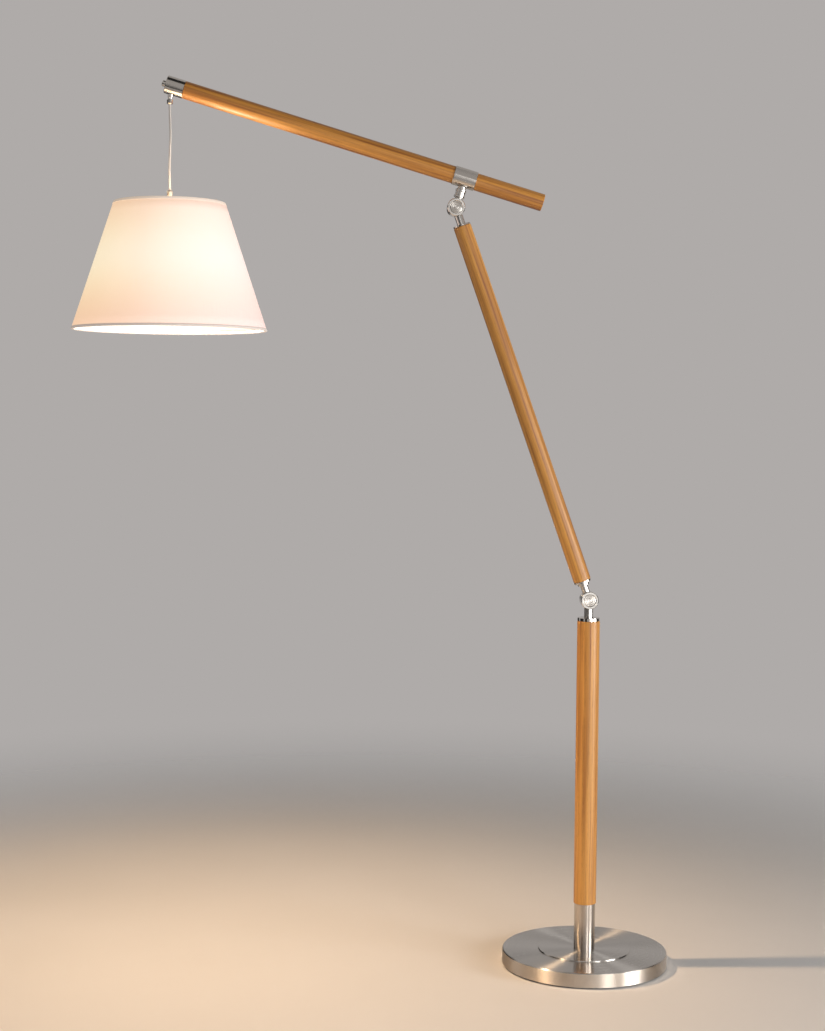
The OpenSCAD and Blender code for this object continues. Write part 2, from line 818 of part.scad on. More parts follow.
module hanger_gland() {
    tongue_r = cheek_r - run_gap;
    foot = -gland_drop - gland_len;
    color(polished_nickel) under_pin() difference() {
        union() {
            translate([0, -tongue_t/2, 0]) along_axle() cylinder(r = tongue_r, h = tongue_t);
            translate([-tongue_r, -tongue_t/2, -gland_drop - eps])
                cube([2*tongue_r, tongue_t, gland_drop + eps]);
            translate([0, 0, foot]) bevelled_bar(hanger_d, gland_len, gland_bevel);
        }
        translate([0, -tongue_t, 0]) along_axle() cylinder(d = pin_d + 2*slip, h = 2*tongue_t);
        translate([0, 0, -stop_at]) sphere(r = stop_seat_r);
        translate([0, 0, foot - eps]) cylinder(r = stop_mouth_r, h = -foot - stop_at);
        translate([0, 0, foot - eps])
            cylinder(r1 = stop_mouth_r + gland_flare_h, r2 = stop_mouth_r, h = gland_flare_h);
    }
}

// Pendant

module cord_stop() {
    color(polished_nickel) under_stop() difference() {
        sphere(d = stop_d);
        translate([-stop_d, -stop_d, -stop_flat - stop_d]) cube([2*stop_d, 2*stop_d, stop_d]);
    }
}

module pendant_cord() {
    n = len(cord_route);
    rings = [for (p = cord_route) for (k = [0:cord_sides - 1])
        p + cord_d/2*[cos(360*k/cord_sides), sin(360*k/cord_sides), 0]];
    sides = [for (i = [0:n - 2]) for (k = [0:cord_sides - 1])
        let (a = i*cord_sides + k, b = i*cord_sides + (k + 1) % cord_sides)
        [a, b, b + cord_sides, a + cord_sides]];
    top = [[for (k = [cord_sides - 1:-1:0]) k]];
    foot = [[for (k = [0:cord_sides - 1]) (n - 1)*cord_sides + k]];
    color(clear_cord) under_stop() polyhedron(rings, concat(sides, top, foot));
}

module cord_grip() {
    r = grip_d/2;
    top_r = cord_d/2 + grip_wall;
    shoulder = [for (a = [0:30:90])
        [top_r + (r - top_r)*cos(a), grip_h - grip_shoulder*(1 - sin(a))]];
    color(polished_nickel) under_stop() translate([0, 0, -holder_at]) rotate_extrude() polygon(concat(
        [[0, 0], [r - grip_bevel, 0], [r, grip_bevel]], shoulder, [[0, grip_h]]
    ));
}

module lampholder() {
    r = holder_d/2;
    socket_top = bulb_cap_len + socket_room - holder_len;
    flange_z = holder_at - carrier_at;
    color(white_plastic) under_stop() translate([0, 0, -holder_at]) rotate_extrude() polygon([
        [0, 0], [r*0.4, 0], [r*0.6, -shoulder_h*0.2], [r*0.95, -shoulder_h*0.8], [r, -shoulder_h],
        [r, flange_z + flange_t], [flange_d/2, flange_z + flange_t], [flange_d/2, flange_z], [r, flange_z],
        [r, holder_bevel - holder_len], [r - holder_bevel, -holder_len], [socket_r, -holder_len],
        [socket_r, socket_top], [0, socket_top]
    ]);
}

module shade_ring() {
    color(white_plastic) under_stop() translate([0, 0, -carrier_at - carrier_t - shade_ring_t])
        pipe(holder_d + 2*shade_ring_w, holder_d + 2*slip, shade_ring_t);
}

// Outer radius of the shade at a distance below the stop bead
function shade_r(at) = shade_top_d/2 + shade_slope*(at - shade_top_at);

// Radius of a frame wire's ring that lies against the inside of the fabric
function ring_r(at) = shade_r(at) - fabric_t - (frame_wire_d/2 + slip)*sqrt(1 + pow(shade_slope, 2));

module wire_ring(at) {
    translate([0, 0, -at]) rotate_extrude($fn = 120) translate([ring_r(at), 0])
        circle(d = frame_wire_d, $fn = 24);
}

module shade_frame() {
    top_wire_at = shade_top_at + frame_wire_d/2 + slip;
    from_r = carrier_d/2 - arm_root;
    from_at = carrier_at + carrier_t/2;
    run = ring_r(top_wire_at) - from_r;
    rise = from_at - top_wire_at;
    color(polished_nickel) under_stop() {
        wire_ring(top_wire_at);
        translate([0, 0, -carrier_at - carrier_t]) pipe(carrier_d, holder_d + 2*slip, carrier_t);
        for (k = [0:frame_arms - 1]) rotate([0, 0, 90 + 360*k/frame_arms]) translate([from_r, 0, -from_at])
            rotate([0, atan2(run, rise), 0]) cylinder(d = frame_arm_d, h = norm([run, rise]));
    }
}

// A cone band of the shade between two distances below the stop bead
module cone_band(from, to, inner, outer) {
    rotate_extrude($fn = 180) polygon([
        [shade_r(from) + inner, -from], [shade_r(from) + outer, -from],
        [shade_r(to) + outer, -to], [shade_r(to) + inner, -to]
    ]);
}

module shade_fabric() {
    color(cloth) under_stop() cone_band(shade_top_at, shade_bottom_at, -fabric_t, 0);
}

module shade_bottom_wire() {
    color(polished_nickel) under_stop() wire_ring(shade_bottom_at - frame_wire_d/2 - slip);
}

module shade_hems() {
    color(hem_cloth) under_stop() {
        cone_band(shade_top_at, shade_top_at + hem_h, slip, hem_t);
        cone_band(shade_bottom_at - hem_h, shade_bottom_at, slip, hem_t);
    }
}

module bulb_cap() {
    r = bulb_cap_d/2;
    color(polished_nickel) under_stop() translate([0, 0, -holder_foot_at]) rotate_extrude() polygon([
        [0, 0], [r, 0], [r, bulb_cap_len - contact_h], [r*0.45, bulb_cap_len - contact_tip],
        [r*0.4, bulb_cap_len], [0, bulb_cap_len]
    ]);
}

// The outside or the inside of the bulb's glass: a ball that runs into a tapered neck
module bulb_form(r, neck_r) {
    drop = bulb_len - bulb_r;
    turn = atan2(neck_r, drop) + acos(r/norm([neck_r, drop]));
    cone_h = drop - r*cos(turn);
    translate([0, 0, -cone_h]) cylinder(r1 = r*sin(turn), r2 = neck_r, h = cone_h);
    translate([0, 0, -drop]) sphere(r = r);
}

module bulb_glass() {
    color(white_plastic) under_stop() translate([0, 0, -holder_foot_at]) difference() {
        bulb_form(bulb_r, bulb_neck_r);
        bulb_form(bulb_r - bulb_wall, bulb_neck_r - bulb_wall);
    }
}

base_cover();
base_weight();
base_pad();
inlet_bush();
tie_rod();
tie_washer();
tie_nut();
post_tube();
tube_plugs();
lower_insert();
lower_pole();
lower_pole_cap();
lower_nipple();
lower_wire();
lower_knuckle_base();
lower_knuckle_bolt();
lower_knuckle_nut();
lower_friction_washer();
lower_rear_face_cap();
lower_knuckle_arm();
lower_front_face_cap();
lock_ring();
mid_nipples();
mid_pole_bottom_cap();
mid_pole();
mid_pole_top_cap();
mid_wire();
upper_knuckle_base();
upper_knuckle_bolt();
upper_knuckle_nut();
upper_friction_washer();
upper_rear_face_cap();
upper_knuckle_arm();
upper_front_face_cap();
lock_collar();
sleeve_nipple();
boom_sleeve();
boom_pole();
boom_end_cap();
end_cap_knob();
boom_wire();
hanger_fork();
hanger_pin();
hanger_gland();
cord_stop();
pendant_cord();
cord_grip();
lampholder();
shade_ring();
shade_frame();
shade_fabric();
shade_bottom_wire();
shade_hems();
bulb_cap();
bulb_glass();
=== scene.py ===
# %% [markdown]
# # A floor lamp with wooden poles and a hanging shade
# The lamp stands on a heavy round base. Two metal knuckles join three wooden poles, and a cloth shade hangs
# by a short cord from the end of the boom. Every rigid piece comes from a imported CAD model, and this script
# never moves one of them. Blender adds what CAD leaves plain: the cord, the cloth of the shade, the finish
# of each surface, the light and the camera. The model is loaded first.

# %% Load the imported model
import json
import math

import bmesh
import bpy
from mathutils import Matrix, Vector
from mathutils.geometry import interpolate_bezier

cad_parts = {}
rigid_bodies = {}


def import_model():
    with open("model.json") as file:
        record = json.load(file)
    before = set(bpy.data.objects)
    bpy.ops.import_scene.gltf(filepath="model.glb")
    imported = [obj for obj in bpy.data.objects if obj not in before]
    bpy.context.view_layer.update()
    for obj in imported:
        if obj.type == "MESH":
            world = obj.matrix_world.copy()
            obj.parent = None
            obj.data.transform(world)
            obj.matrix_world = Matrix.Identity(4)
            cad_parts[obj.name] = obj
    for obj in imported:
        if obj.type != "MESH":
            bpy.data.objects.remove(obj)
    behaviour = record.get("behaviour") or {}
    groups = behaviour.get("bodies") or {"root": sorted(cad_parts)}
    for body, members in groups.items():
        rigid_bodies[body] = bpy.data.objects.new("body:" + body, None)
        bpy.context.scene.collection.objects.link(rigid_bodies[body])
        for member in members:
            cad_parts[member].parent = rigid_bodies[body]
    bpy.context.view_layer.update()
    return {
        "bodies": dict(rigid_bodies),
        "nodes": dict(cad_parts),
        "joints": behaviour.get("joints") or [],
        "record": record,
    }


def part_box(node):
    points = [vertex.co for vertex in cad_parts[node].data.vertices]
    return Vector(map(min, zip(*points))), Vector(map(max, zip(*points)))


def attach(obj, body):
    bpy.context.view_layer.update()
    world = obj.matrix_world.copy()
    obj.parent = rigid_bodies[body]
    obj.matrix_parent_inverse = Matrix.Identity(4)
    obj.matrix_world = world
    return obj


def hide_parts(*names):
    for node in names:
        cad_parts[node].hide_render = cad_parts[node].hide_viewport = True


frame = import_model()
nodes = frame["nodes"]

# %% [markdown]
# ## The camera
# A photograph is matched by its viewing angle before anything else is judged. The camera could be nudged by
# eye until the picture looks right. Here the place, the three turns and the lens were worked out together
# from the outlines of the base, the poles and the shade, so that the render lies over the photograph.
# A turn about the upright comes last, and the roll about the line of sight comes first.

# %% Camera at the photograph's angle
CAMERA_PLACE = (-0.5343, -3.5350, 1.0982)
HEADING = math.radians(-2.921)
DOWNWARD = math.radians(3.141)
ROLL = math.radians(0.481)
LENS_MM = 62.49
SENSOR_MM = 36
FARTHEST = 200

bpy.ops.object.select_all(action="DESELECT")
bpy.ops.object.camera_add(location=CAMERA_PLACE)
camera = bpy.context.object
camera.name = "lamp_camera"
turned = Matrix.Rotation(HEADING, 3, "Z") @ Matrix.Rotation(math.pi/2 - DOWNWARD, 3, "X")
camera.rotation_euler = (turned @ Matrix.Rotation(ROLL, 3, "Z")).to_euler()
camera.data.lens = LENS_MM
camera.data.sensor_width = SENSOR_MM
camera.data.clip_end = FARTHEST
bpy.context.scene.camera = camera
print("The camera looks along", [round(x, 3) for x in camera.rotation_euler])

# %% [markdown]
# ## Where things are
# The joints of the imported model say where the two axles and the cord's stop bead are, so no place is typed
# twice. The lean of the middle pole follows from the two axles. Only the tilt of the boom and its rise above
# the upper axle are written down.

# %% Places on the lamp
def joint_place(name):
    """The point that a joint turns about, in metres."""
    return Vector(next(j["pos_m"] for j in frame["joints"] if j["name"] == name))


LOWER_AXLE = joint_place("lower_knuckle")
UPPER_AXLE = joint_place("upper_knuckle")
STOP_BEAD = joint_place("pendant_turn")
LEAN = math.atan2(LOWER_AXLE.x - UPPER_AXLE.x, UPPER_AXLE.z - LOWER_AXLE.z)
TILT = math.radians(16.5)
BOOM_RISE = 0.060
BOOM_LINE = UPPER_AXLE + Matrix.Rotation(TILT, 3, "Y") @ Vector((0, 0, BOOM_RISE))
print("The middle pole leans", round(math.degrees(LEAN), 2), "degrees")

# %% [markdown]
# ## The pendant cord
# The shade hangs on a clear cord with silver strands inside it, which is seen from end to end: it leaves the
# gland under the boom, wavers a little because it was once coiled, and goes into a small rounded grip. Its
# route is the same list of points as in the CAD source. A Bezier curve with automatic handles runs smoothly
# through them, its bevel gives it the cord's thickness, and it is then made a mesh, so that it can carry
# the same kind of finish as the rest.

# %% Line of the pendant cord
CORD_D = 0.0045
CORD_ROUTE_MM = [
    (0, 0, -3), (0, 0, -12), (0.2, 0, -22), (0.6, 0, -32), (1.1, 0, -43), (1.5, 0, -54),
    (1.6, 0, -66), (1.4, 0, -78), (0.8, 0, -90), (0.2, 0, -102), (-0.2, 0, -114), (-0.4, 0, -126),
    (-0.3, 0, -138), (-0.1, 0, -149), (0, 0, -159), (0, 0, -169),
]
SMOOTH_STEPS = 6
ROUND_STEPS = 6
route = [STOP_BEAD + Vector(p)/1000 for p in CORD_ROUTE_MM]
cord_line = bpy.data.curves.new("pendant_cord_line", "CURVE")
cord_line.dimensions = "3D"
cord_line.bevel_depth = CORD_D/2
cord_line.bevel_resolution = ROUND_STEPS
cord_line.resolution_u = SMOOTH_STEPS
cord_line.use_fill_caps = True
spline = cord_line.splines.new("BEZIER")
spline.bezier_points.add(len(route) - 1)
for knot, place in zip(spline.bezier_points, route):
    knot.co = place
    knot.handle_left_type = "AUTO"
    knot.handle_right_type = "AUTO"
pendant_cord = bpy.data.objects.new("clear_cord", cord_line)
bpy.context.scene.collection.objects.link(pendant_cord)
bpy.context.view_layer.update()

cord_path = []
for here, there in zip(spline.bezier_points[:-1], spline.bezier_points[1:]):
    stretch = interpolate_bezier(here.co, here.handle_right, there.handle_left, there.co, SMOOTH_STEPS + 1)
    cord_path += stretch[:-1]
cord_path.append(route[-1])
print("The cord's line has", len(cord_path), "points")

# %% Mesh of the pendant cord
bpy.ops.object.select_all(action="DESELECT")
pendant_cord.select_set(True)
bpy.context.view_layer.objects.active = pendant_cord
bpy.ops.object.convert(target="MESH")
bpy.ops.object.shade_smooth()
pendant_cord = bpy.context.object
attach(pendant_cord, "pendant")
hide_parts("pendant_cord")

# %% [markdown]
# ## The cloth of the shade
# The shade is one piece of linen on a white lining, cut flat as part of a ring, rolled into a cone and
# lapped along a seam, which is turned to the back. A cone primitive without ends is its start. The sloping
# edges are subdivided, so that the cloth has rows, and a strip of faces at the back is raised for the lap
# of the seam. The UV map is the flat cut itself, in metres: then the threads run straight in the cloth and
# turn round the cone as real ones do. Solidify gives the cloth its thickness, towards the inside.

# %% Sizes of the shade
SHADE_TOP_R = 0.1085
shade_low, shade_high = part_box("shade_fabric")
SHADE_BOTTOM_R = (shade_high.x - shade_low.x)/2
SHADE_H = shade_high.z - shade_low.z
SHADE_AXIS = Vector(((shade_low.x + shade_high.x)/2, 0, 0))
SLANT = math.hypot(SHADE_H, SHADE_BOTTOM_R - SHADE_TOP_R)
CUT_R = SHADE_BOTTOM_R*SLANT/(SHADE_BOTTOM_R - SHADE_TOP_R)
CUT_TURN = SHADE_BOTTOM_R/CUT_R
print("The shade's cloth is", round(SLANT, 3), "m long down its slope")

# %% Cone of cloth
CLOTH_SIDES = 256
CLOTH_ROWS = 12


def edit(piece):
    """Makes one piece active, opens it in edit mode and gives its bmesh."""
    bpy.context.view_layer.objects.active = piece
    bpy.ops.object.mode_set(mode="EDIT")
    return bmesh.from_edit_mesh(piece.data)


bpy.ops.object.select_all(action="DESELECT")
bpy.ops.mesh.primitive_cone_add(
    vertices=CLOTH_SIDES, radius1=SHADE_BOTTOM_R, radius2=SHADE_TOP_R, depth=SHADE_H,
    end_fill_type="NOTHING", location=(SHADE_AXIS.x, 0, (shade_low.z + shade_high.z)/2),
)
shade_cloth = bpy.context.object
shade_cloth.name = "shade_cloth"
bpy.ops.object.transform_apply(location=True, rotation=True, scale=True)
rows = edit(shade_cloth)
bpy.ops.mesh.select_all(action="DESELECT")
bpy.ops.mesh.select_mode(type="EDGE")
for edge in rows.edges:
    edge.select_set(abs(edge.verts[0].co.z - edge.verts[1].co.z) > SHADE_H/2)
bmesh.update_edit_mesh(shade_cloth.data)
bpy.ops.mesh.subdivide(number_cuts=CLOTH_ROWS - 1)
print("The cone has", CLOTH_SIDES, "sides and", CLOTH_ROWS, "rows")

# %% Lap of the seam and the flat cut
CLOTH_T = 0.0009
LAP_T = 0.0004
LAP_HALF_WIDTH = math.radians(2.4)
CLOTH_CREASE = math.radians(40)


def around(place):
    """The angle of a place round the shade's axis, from the front, so that the seam is at half a turn."""
    return math.atan2(place.x - SHADE_AXIS.x, -place.y)


bpy.ops.mesh.select_mode(type="FACE")
bpy.ops.mesh.select_all(action="DESELECT")
rows = bmesh.from_edit_mesh(shade_cloth.data)
for face in rows.faces:
    face.select_set(math.pi - abs(around(face.calc_center_median())) < LAP_HALF_WIDTH)
bmesh.update_edit_mesh(shade_cloth.data)
bpy.ops.mesh.extrude_region_shrink_fatten(TRANSFORM_OT_shrink_fatten={"value": LAP_T})

rows = bmesh.from_edit_mesh(shade_cloth.data)
flat_cut = rows.loops.layers.uv.verify()
for face in rows.faces:
    side = around(face.calc_center_median())
    for loop in face.loops:
        angle = around(loop.vert.co)
        if abs(angle - side) > math.pi:
            angle += math.copysign(2*math.pi, side)
        down = (shade_high.z - loop.vert.co.z)/SHADE_H
        rho = CUT_R - SLANT*(1 - down)
        loop[flat_cut].uv = (rho*math.sin(angle*CUT_TURN), -rho*math.cos(angle*CUT_TURN))
bmesh.update_edit_mesh(shade_cloth.data)
bpy.ops.object.mode_set(mode="OBJECT")
thicken = shade_cloth.modifiers.new("cloth thickness", "SOLIDIFY")
thicken.thickness = CLOTH_T
thicken.offset = -1
thicken.material_offset = 1
bpy.ops.object.shade_smooth_by_angle(angle=CLOTH_CREASE)
print("The shade's cloth has", len(shade_cloth.data.polygons), "faces before it is thickened")

# %% [markdown]
# ## The tape round the shade's edges
# A pale tape is folded over each edge of the shade and glued, so that it hides the wire ring inside: from
# outside it is a narrow band, and from inside a rounded bead. Its section is drawn as a chain of short
# extrusions from one vertex, then spun once round the axis of the shade. The ends of the spin are merged,
# and the normals are recalculated before Solidify gives the tape its thickness.

# %% Section of the folded tape
TAPE_H = 0.0045
SLOPE = (SHADE_BOTTOM_R - SHADE_TOP_R)/SHADE_H
# Each step is a distance out from the cloth in metres, and a share of the tape's height along it.
TAPE_FOLD = [
    (0.00035, 1.0), (0.00035, 0.55), (0.00035, 0.08), (0.0001, -0.04), (-0.0006, -0.10),
    (-0.0018, -0.12), (-0.0034, -0.11), (-0.0046, -0.02), (-0.0051, 0.20), (-0.0050, 0.55),
    (-0.0042, 0.90), (-0.0028, 1.12), (-0.0016, 1.30),
]


def tape_section(rim_r, rim_z, way):
    """The folded tape's section at one rim. Way is -1 where the cloth runs down from the rim, and 1 up."""
    return [(rim_r + out - way*SLOPE*share*TAPE_H, rim_z + way*share*TAPE_H) for out, share in TAPE_FOLD]


print("The tape's section has", len(TAPE_FOLD), "points")

# %% Edge tapes
TAPE_T = 0.00045
TAPE_SIDES = 192
TAPE_CREASE = math.radians(50)
SEED_SIZE = 0.001
SAME_PLACE = 0.00001


def spun_ring(name, section):
    """Spins a chain of (radius, height) points in metres once round the shade's axis."""
    corners = [SHADE_AXIS + Vector((radius, 0, height)) for radius, height in section]
    bpy.ops.object.select_all(action="DESELECT")
    bpy.ops.mesh.primitive_plane_add(size=SEED_SIZE, location=corners[0])
    ring = bpy.context.object
    ring.name = name
    bpy.ops.object.transform_apply(location=True, rotation=True, scale=True)
    edit(ring)
    bpy.ops.mesh.select_mode(type="VERT")
    bpy.ops.mesh.select_all(action="SELECT")
    bpy.ops.mesh.merge(type="CENTER")
    for here, there in zip(corners[:-1], corners[1:]):
        bpy.ops.mesh.extrude_region_move(TRANSFORM_OT_translate={"value": there - here})
    bpy.ops.mesh.select_all(action="SELECT")
    bpy.ops.mesh.spin(steps=TAPE_SIDES, angle=2*math.pi, center=SHADE_AXIS, axis=(0, 0, 1))
    bpy.ops.mesh.select_all(action="SELECT")
    bpy.ops.mesh.remove_doubles(threshold=SAME_PLACE)
    bpy.ops.mesh.normals_make_consistent(inside=False)
    bpy.ops.object.mode_set(mode="OBJECT")
    bpy.ops.object.shade_smooth_by_angle(angle=TAPE_CREASE)
    return ring


top_tape = spun_ring("top_tape", tape_section(SHADE_TOP_R, shade_high.z, -1))
bottom_tape = spun_ring("bottom_tape", tape_section(SHADE_BOTTOM_R, shade_low.z, 1))
for tape in (top_tape, bottom_tape):
    fold = tape.modifiers.new("tape thickness", "SOLIDIFY")
    fold.thickness = TAPE_T
    fold.offset = 0
    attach(tape, "pendant")
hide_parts("shade_hems")
print("Each tape has", len(top_tape.data.polygons), "faces")

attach(shade_cloth, "pendant")
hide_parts("shade_fabric")

# %% [markdown]
# ## Small helpers for materials
# Each finish is a tree of shader nodes. Adding a node, setting its sockets and linking it takes several lines
# each time, so a few short helpers do it. The first ones add any node, do sums, mix two colours and make a
# colour ramp. The next ones place a pattern on a piece and draw it, and the last ones start a material or a
# group. Colours are written as they look on a screen, from 0 to 255, and turned into the linear light that
# the renderer works in.

# %% Helpers for colours and nodes
def light(red, green, blue):
    """A screen colour as linear light with full alpha."""
    def linear(level):
        share = level/255
        return share/12.92 if share <= 0.04045 else ((share + 0.055)/1.055)**2.4
    return (linear(red), linear(green), linear(blue), 1.0)


def grey(level):
    """A grey that is already linear light."""
    return (level, level, level, 1.0)


def add(tree, kind, feeds=None, **settings):
    """Adds a node with its settings, and links or sets each of its inputs."""
    node = tree.nodes.new(kind)
    for name, value in settings.items():
        setattr(node, name, value)
    for name, value in (feeds or {}).items():
        if isinstance(value, bpy.types.NodeSocket):
            tree.links.new(value, node.inputs[name])
        else:
            node.inputs[name].default_value = value
    return node


def sums(tree, operation, first, second=0.0, clamp=False):
    """A Math node's result."""
    feeds = {0: first, 1: second}
    return add(tree, "ShaderNodeMath", feeds, operation=operation, use_clamp=clamp).outputs[0]


def plus(tree, base, value, share, clamp=False):
    """A base plus a share of a value."""
    return sums(tree, "ADD", base, sums(tree, "MULTIPLY", value, share), clamp=clamp)


def mixed(tree, share, first, second, way="MIX"):
    """Two colours mixed by a share."""
    node = add(tree, "ShaderNodeMix", {0: share, 6: first, 7: second}, data_type="RGBA", blend_type=way)
    return node.outputs[2]


def ramp(tree, value, stops, smooth="LINEAR"):
    """A colour ramp through (place, colour) stops."""
    node = add(tree, "ShaderNodeValToRGB", {0: value})
    node.color_ramp.interpolation = smooth
    while len(node.color_ramp.elements) < len(stops):
        node.color_ramp.elements.new(0.5)
    for element, (place, colour) in zip(node.color_ramp.elements, stops):
        element.position = place
        element.color = colour if len(colour) == 4 else (*colour, 1.0)
    return node.outputs[0]


print("Half of full white on a screen is", round(light(128, 128, 128)[0], 3), "of its light")

# %% Helpers for places and patterns
def split(tree, place):
    """The x, y and z of a place."""
    return add(tree, "ShaderNodeSeparateXYZ", {0: place}).outputs


def from_axis(tree, x, y):
    """How far a place is from an axis, by its two coordinates across it."""
    squares = sums(tree, "ADD", sums(tree, "MULTIPLY", x, x), sums(tree, "MULTIPLY", y, y))
    return sums(tree, "SQRT", squares)


def turned_place(tree, place, centre, turn=(0, 0, 0)):
    """Object coordinates seen from a centre and a turn, such as those of a leaning pole."""
    feeds = {"Vector": place, "Location": centre, "Rotation": turn}
    return add(tree, "ShaderNodeMapping", feeds, vector_type="TEXTURE").outputs[0]


def stretched(tree, place, scale):
    """Coordinates multiplied along each axis, for a pattern that runs one way."""
    return add(tree, "ShaderNodeVectorMath", {0: place, 1: scale}, operation="MULTIPLY").outputs[0]


def noise(tree, place, scale=1.0, detail=2.0, roughness=0.5):
    """A noise texture's value, from 0 to 1."""
    feeds = {"Vector": place, "Scale": scale, "Detail": detail, "Roughness": roughness}
    return add(tree, "ShaderNodeTexNoise", feeds).outputs[0]


def bump(tree, height, depth):
    """A normal from a height in parts of a depth in metres."""
    return add(tree, "ShaderNodeBump", {"Height": height, "Distance": depth, "Strength": 1.0}).outputs[0]


print("Patterns are placed in metres, so a scale of 1000 draws about one grain to the millimetre")

# %% Helpers for materials and groups
def finish(name, **constants):
    """A new material: its node tree, its Principled shader and the Object coordinates."""
    material = bpy.data.materials.new(name)
    material.use_nodes = True
    tree = material.node_tree
    shader = tree.nodes["Principled BSDF"]
    for socket, value in constants.items():
        shader.inputs[socket.replace("_", " ")].default_value = value
    place = add(tree, "ShaderNodeTexCoord").outputs["Object"]
    return material, tree, shader, place


def effect(name, inputs, outputs):
    """A shader node group with named sockets: its tree, its inputs and its outputs."""
    tree = bpy.data.node_groups.new(name, "ShaderNodeTree")
    for label, kind, value in inputs:
        socket = tree.interface.new_socket(label, in_out="INPUT", socket_type="NodeSocket" + kind)
        if kind != "Vector":
            socket.default_value = value
    for label, kind in outputs:
        tree.interface.new_socket(label, in_out="OUTPUT", socket_type="NodeSocket" + kind)
    return tree, tree.nodes.new("NodeGroupInput").outputs, tree.nodes.new("NodeGroupOutput").inputs


def use(tree, group, feeds):
    """Places a node group in a tree."""
    return add(tree, "ShaderNodeGroup", feeds, node_tree=group).outputs


print("The helpers are ready, and there are", len(bpy.data.node_groups), "groups so far")

# %% [markdown]
# ## Oak grain
# The three poles are turned oak under a satin honey varnish. The boom is given darker tones of the same oak,
# which paint in the shade that falls on it. A pole is cut from a plank that lay beside the heart of the tree,
# so its growth rings are wide arcs: they cross the pole's section and run along its length as soft bands. An
# image of wood could be wrapped round each pole, but it would show a seam, and the cut end would be wrong.
# Here the rings, the fibres and the pores are computed in space from one group: the distance from the heart
# gives the rings, and noise drawn out along the pole gives fibres and pores. The coordinates must run along
# the pole, so each pole turns them first.

# %% Oak grain group
HEART_BESIDE = 0.021
RING_SWAY = 0.016
SEASON = [(0.0, grey(1)), (0.20, grey(0.72)), (0.52, grey(0.18)), (0.88, grey(0.10)), (1.0, grey(1))]
PORE_BROWN = light(104, 62, 28)
oak_grain, oak_in, oak_out = effect(
    "oak_grain",
    [
        ("Place", "Vector", None), ("Ring Width", "Float", 0.006), ("Heart Side", "Float", 0.06),
        ("Pale Wood", "Color", grey(0.5)), ("Deep Wood", "Color", grey(0.1)),
    ],
    [("Colour", "Color"), ("Roughness", "Float"), ("Height", "Float")],
)


def drawn_out(across, along, detail, roughness=0.5):
    """Noise that is drawn out along the pole."""
    place = stretched(oak_grain, oak_in["Place"], (across, across, along))
    return noise(oak_grain, place, detail=detail, roughness=roughness)


sway = drawn_out(22, 2.2, 2.0)
swayed = sums(oak_grain, "MULTIPLY", sums(oak_grain, "SUBTRACT", sway, 0.5), RING_SWAY)
parts = split(oak_grain, oak_in["Place"])
across_x = sums(oak_grain, "ADD", parts[0], oak_in["Heart Side"])
across_y = sums(oak_grain, "ADD", parts[1], HEART_BESIDE)
from_heart = from_axis(oak_grain, across_x, across_y)
rings = sums(oak_grain, "DIVIDE", sums(oak_grain, "ADD", from_heart, swayed), oak_in["Ring Width"])
spring_wood = ramp(oak_grain, sums(oak_grain, "FRACT", rings), SEASON, "EASE")
bands = drawn_out(70, 1.6, 2.5, 0.6)
flames = drawn_out(190, 4.5, 2.0)
fibres = drawn_out(1150, 22, 3.0, 0.62)
pore_share = ramp(oak_grain, drawn_out(1900, 75, 1.0), [(0.57, grey(0)), (0.70, grey(1))])
pores = sums(oak_grain, "MULTIPLY", pore_share, plus(oak_grain, 0.12, spring_wood, 0.8))
ring_share = ramp(oak_grain, flames, [(0.35, grey(0.05)), (0.70, grey(0.42))])
depth = sums(oak_grain, "MULTIPLY", spring_wood, ring_share)
depth = plus(oak_grain, depth, sums(oak_grain, "SUBTRACT", bands, 0.38), 2.0)
depth = plus(oak_grain, depth, sums(oak_grain, "SUBTRACT", flames, 0.5), 0.75)
depth = plus(oak_grain, depth, sums(oak_grain, "SUBTRACT", fibres, 0.5), 0.45, clamp=True)
varnished = mixed(oak_grain, depth, oak_in["Pale Wood"], oak_in["Deep Wood"])
pored = mixed(oak_grain, sums(oak_grain, "MULTIPLY", pores, 0.55), varnished, PORE_BROWN)
gloss = plus(oak_grain, 0.36, fibres, 0.14)
oak_grain.links.new(pored, oak_out["Colour"])
oak_grain.links.new(plus(oak_grain, gloss, pores, 0.15), oak_out["Roughness"])
oak_grain.links.new(flames, oak_out["Height"])
print("The oak group has", len(oak_grain.nodes), "nodes")

# %% Oak on the three poles
GRAIN_DEPTH = 0.00003
HONEY = {"Pale Wood": light(214, 152, 72), "Deep Wood": light(138, 78, 26)}
# The boom's darker tones of the same oak paint in the shade that falls on it.
HONEY_WITH_PAINTED_SHADE = {"Pale Wood": light(208, 142, 62), "Deep Wood": light(124, 64, 20)}
# Each pole has a centre, a turn, the distance of the tree's heart in metres, and its two tones.
POLES = {
    "lower_pole": ((0, 0, 0), (0, 0, math.radians(25)), 0.060, HONEY),
    "mid_pole": (tuple(LOWER_AXLE), (0, -LEAN, 0), 0.085, HONEY),
    "boom_pole": (tuple(BOOM_LINE), (0, TILT + math.pi/2, 0), 0.048, HONEY_WITH_PAINTED_SHADE),
}


def oak_on(node, centre, turn, heart_side, tones):
    """Varnished oak whose grain runs along one pole."""
    material, tree, shader, place = finish("oak_" + node, Coat_Weight=0.2, Coat_Roughness=0.28)
    along = turned_place(tree, place, centre, turn)
    grain = use(tree, oak_grain, {"Place": along, "Heart Side": heart_side, **tones})
    tree.links.new(grain["Colour"], shader.inputs["Base Color"])
    tree.links.new(grain["Roughness"], shader.inputs["Roughness"])
    tree.links.new(bump(tree, grain["Height"], GRAIN_DEPTH), shader.inputs["Normal"])
    return material


finishes = {node: oak_on(node, *lie) for node, lie in POLES.items()}
print("Oak is on", ", ".join(finishes))
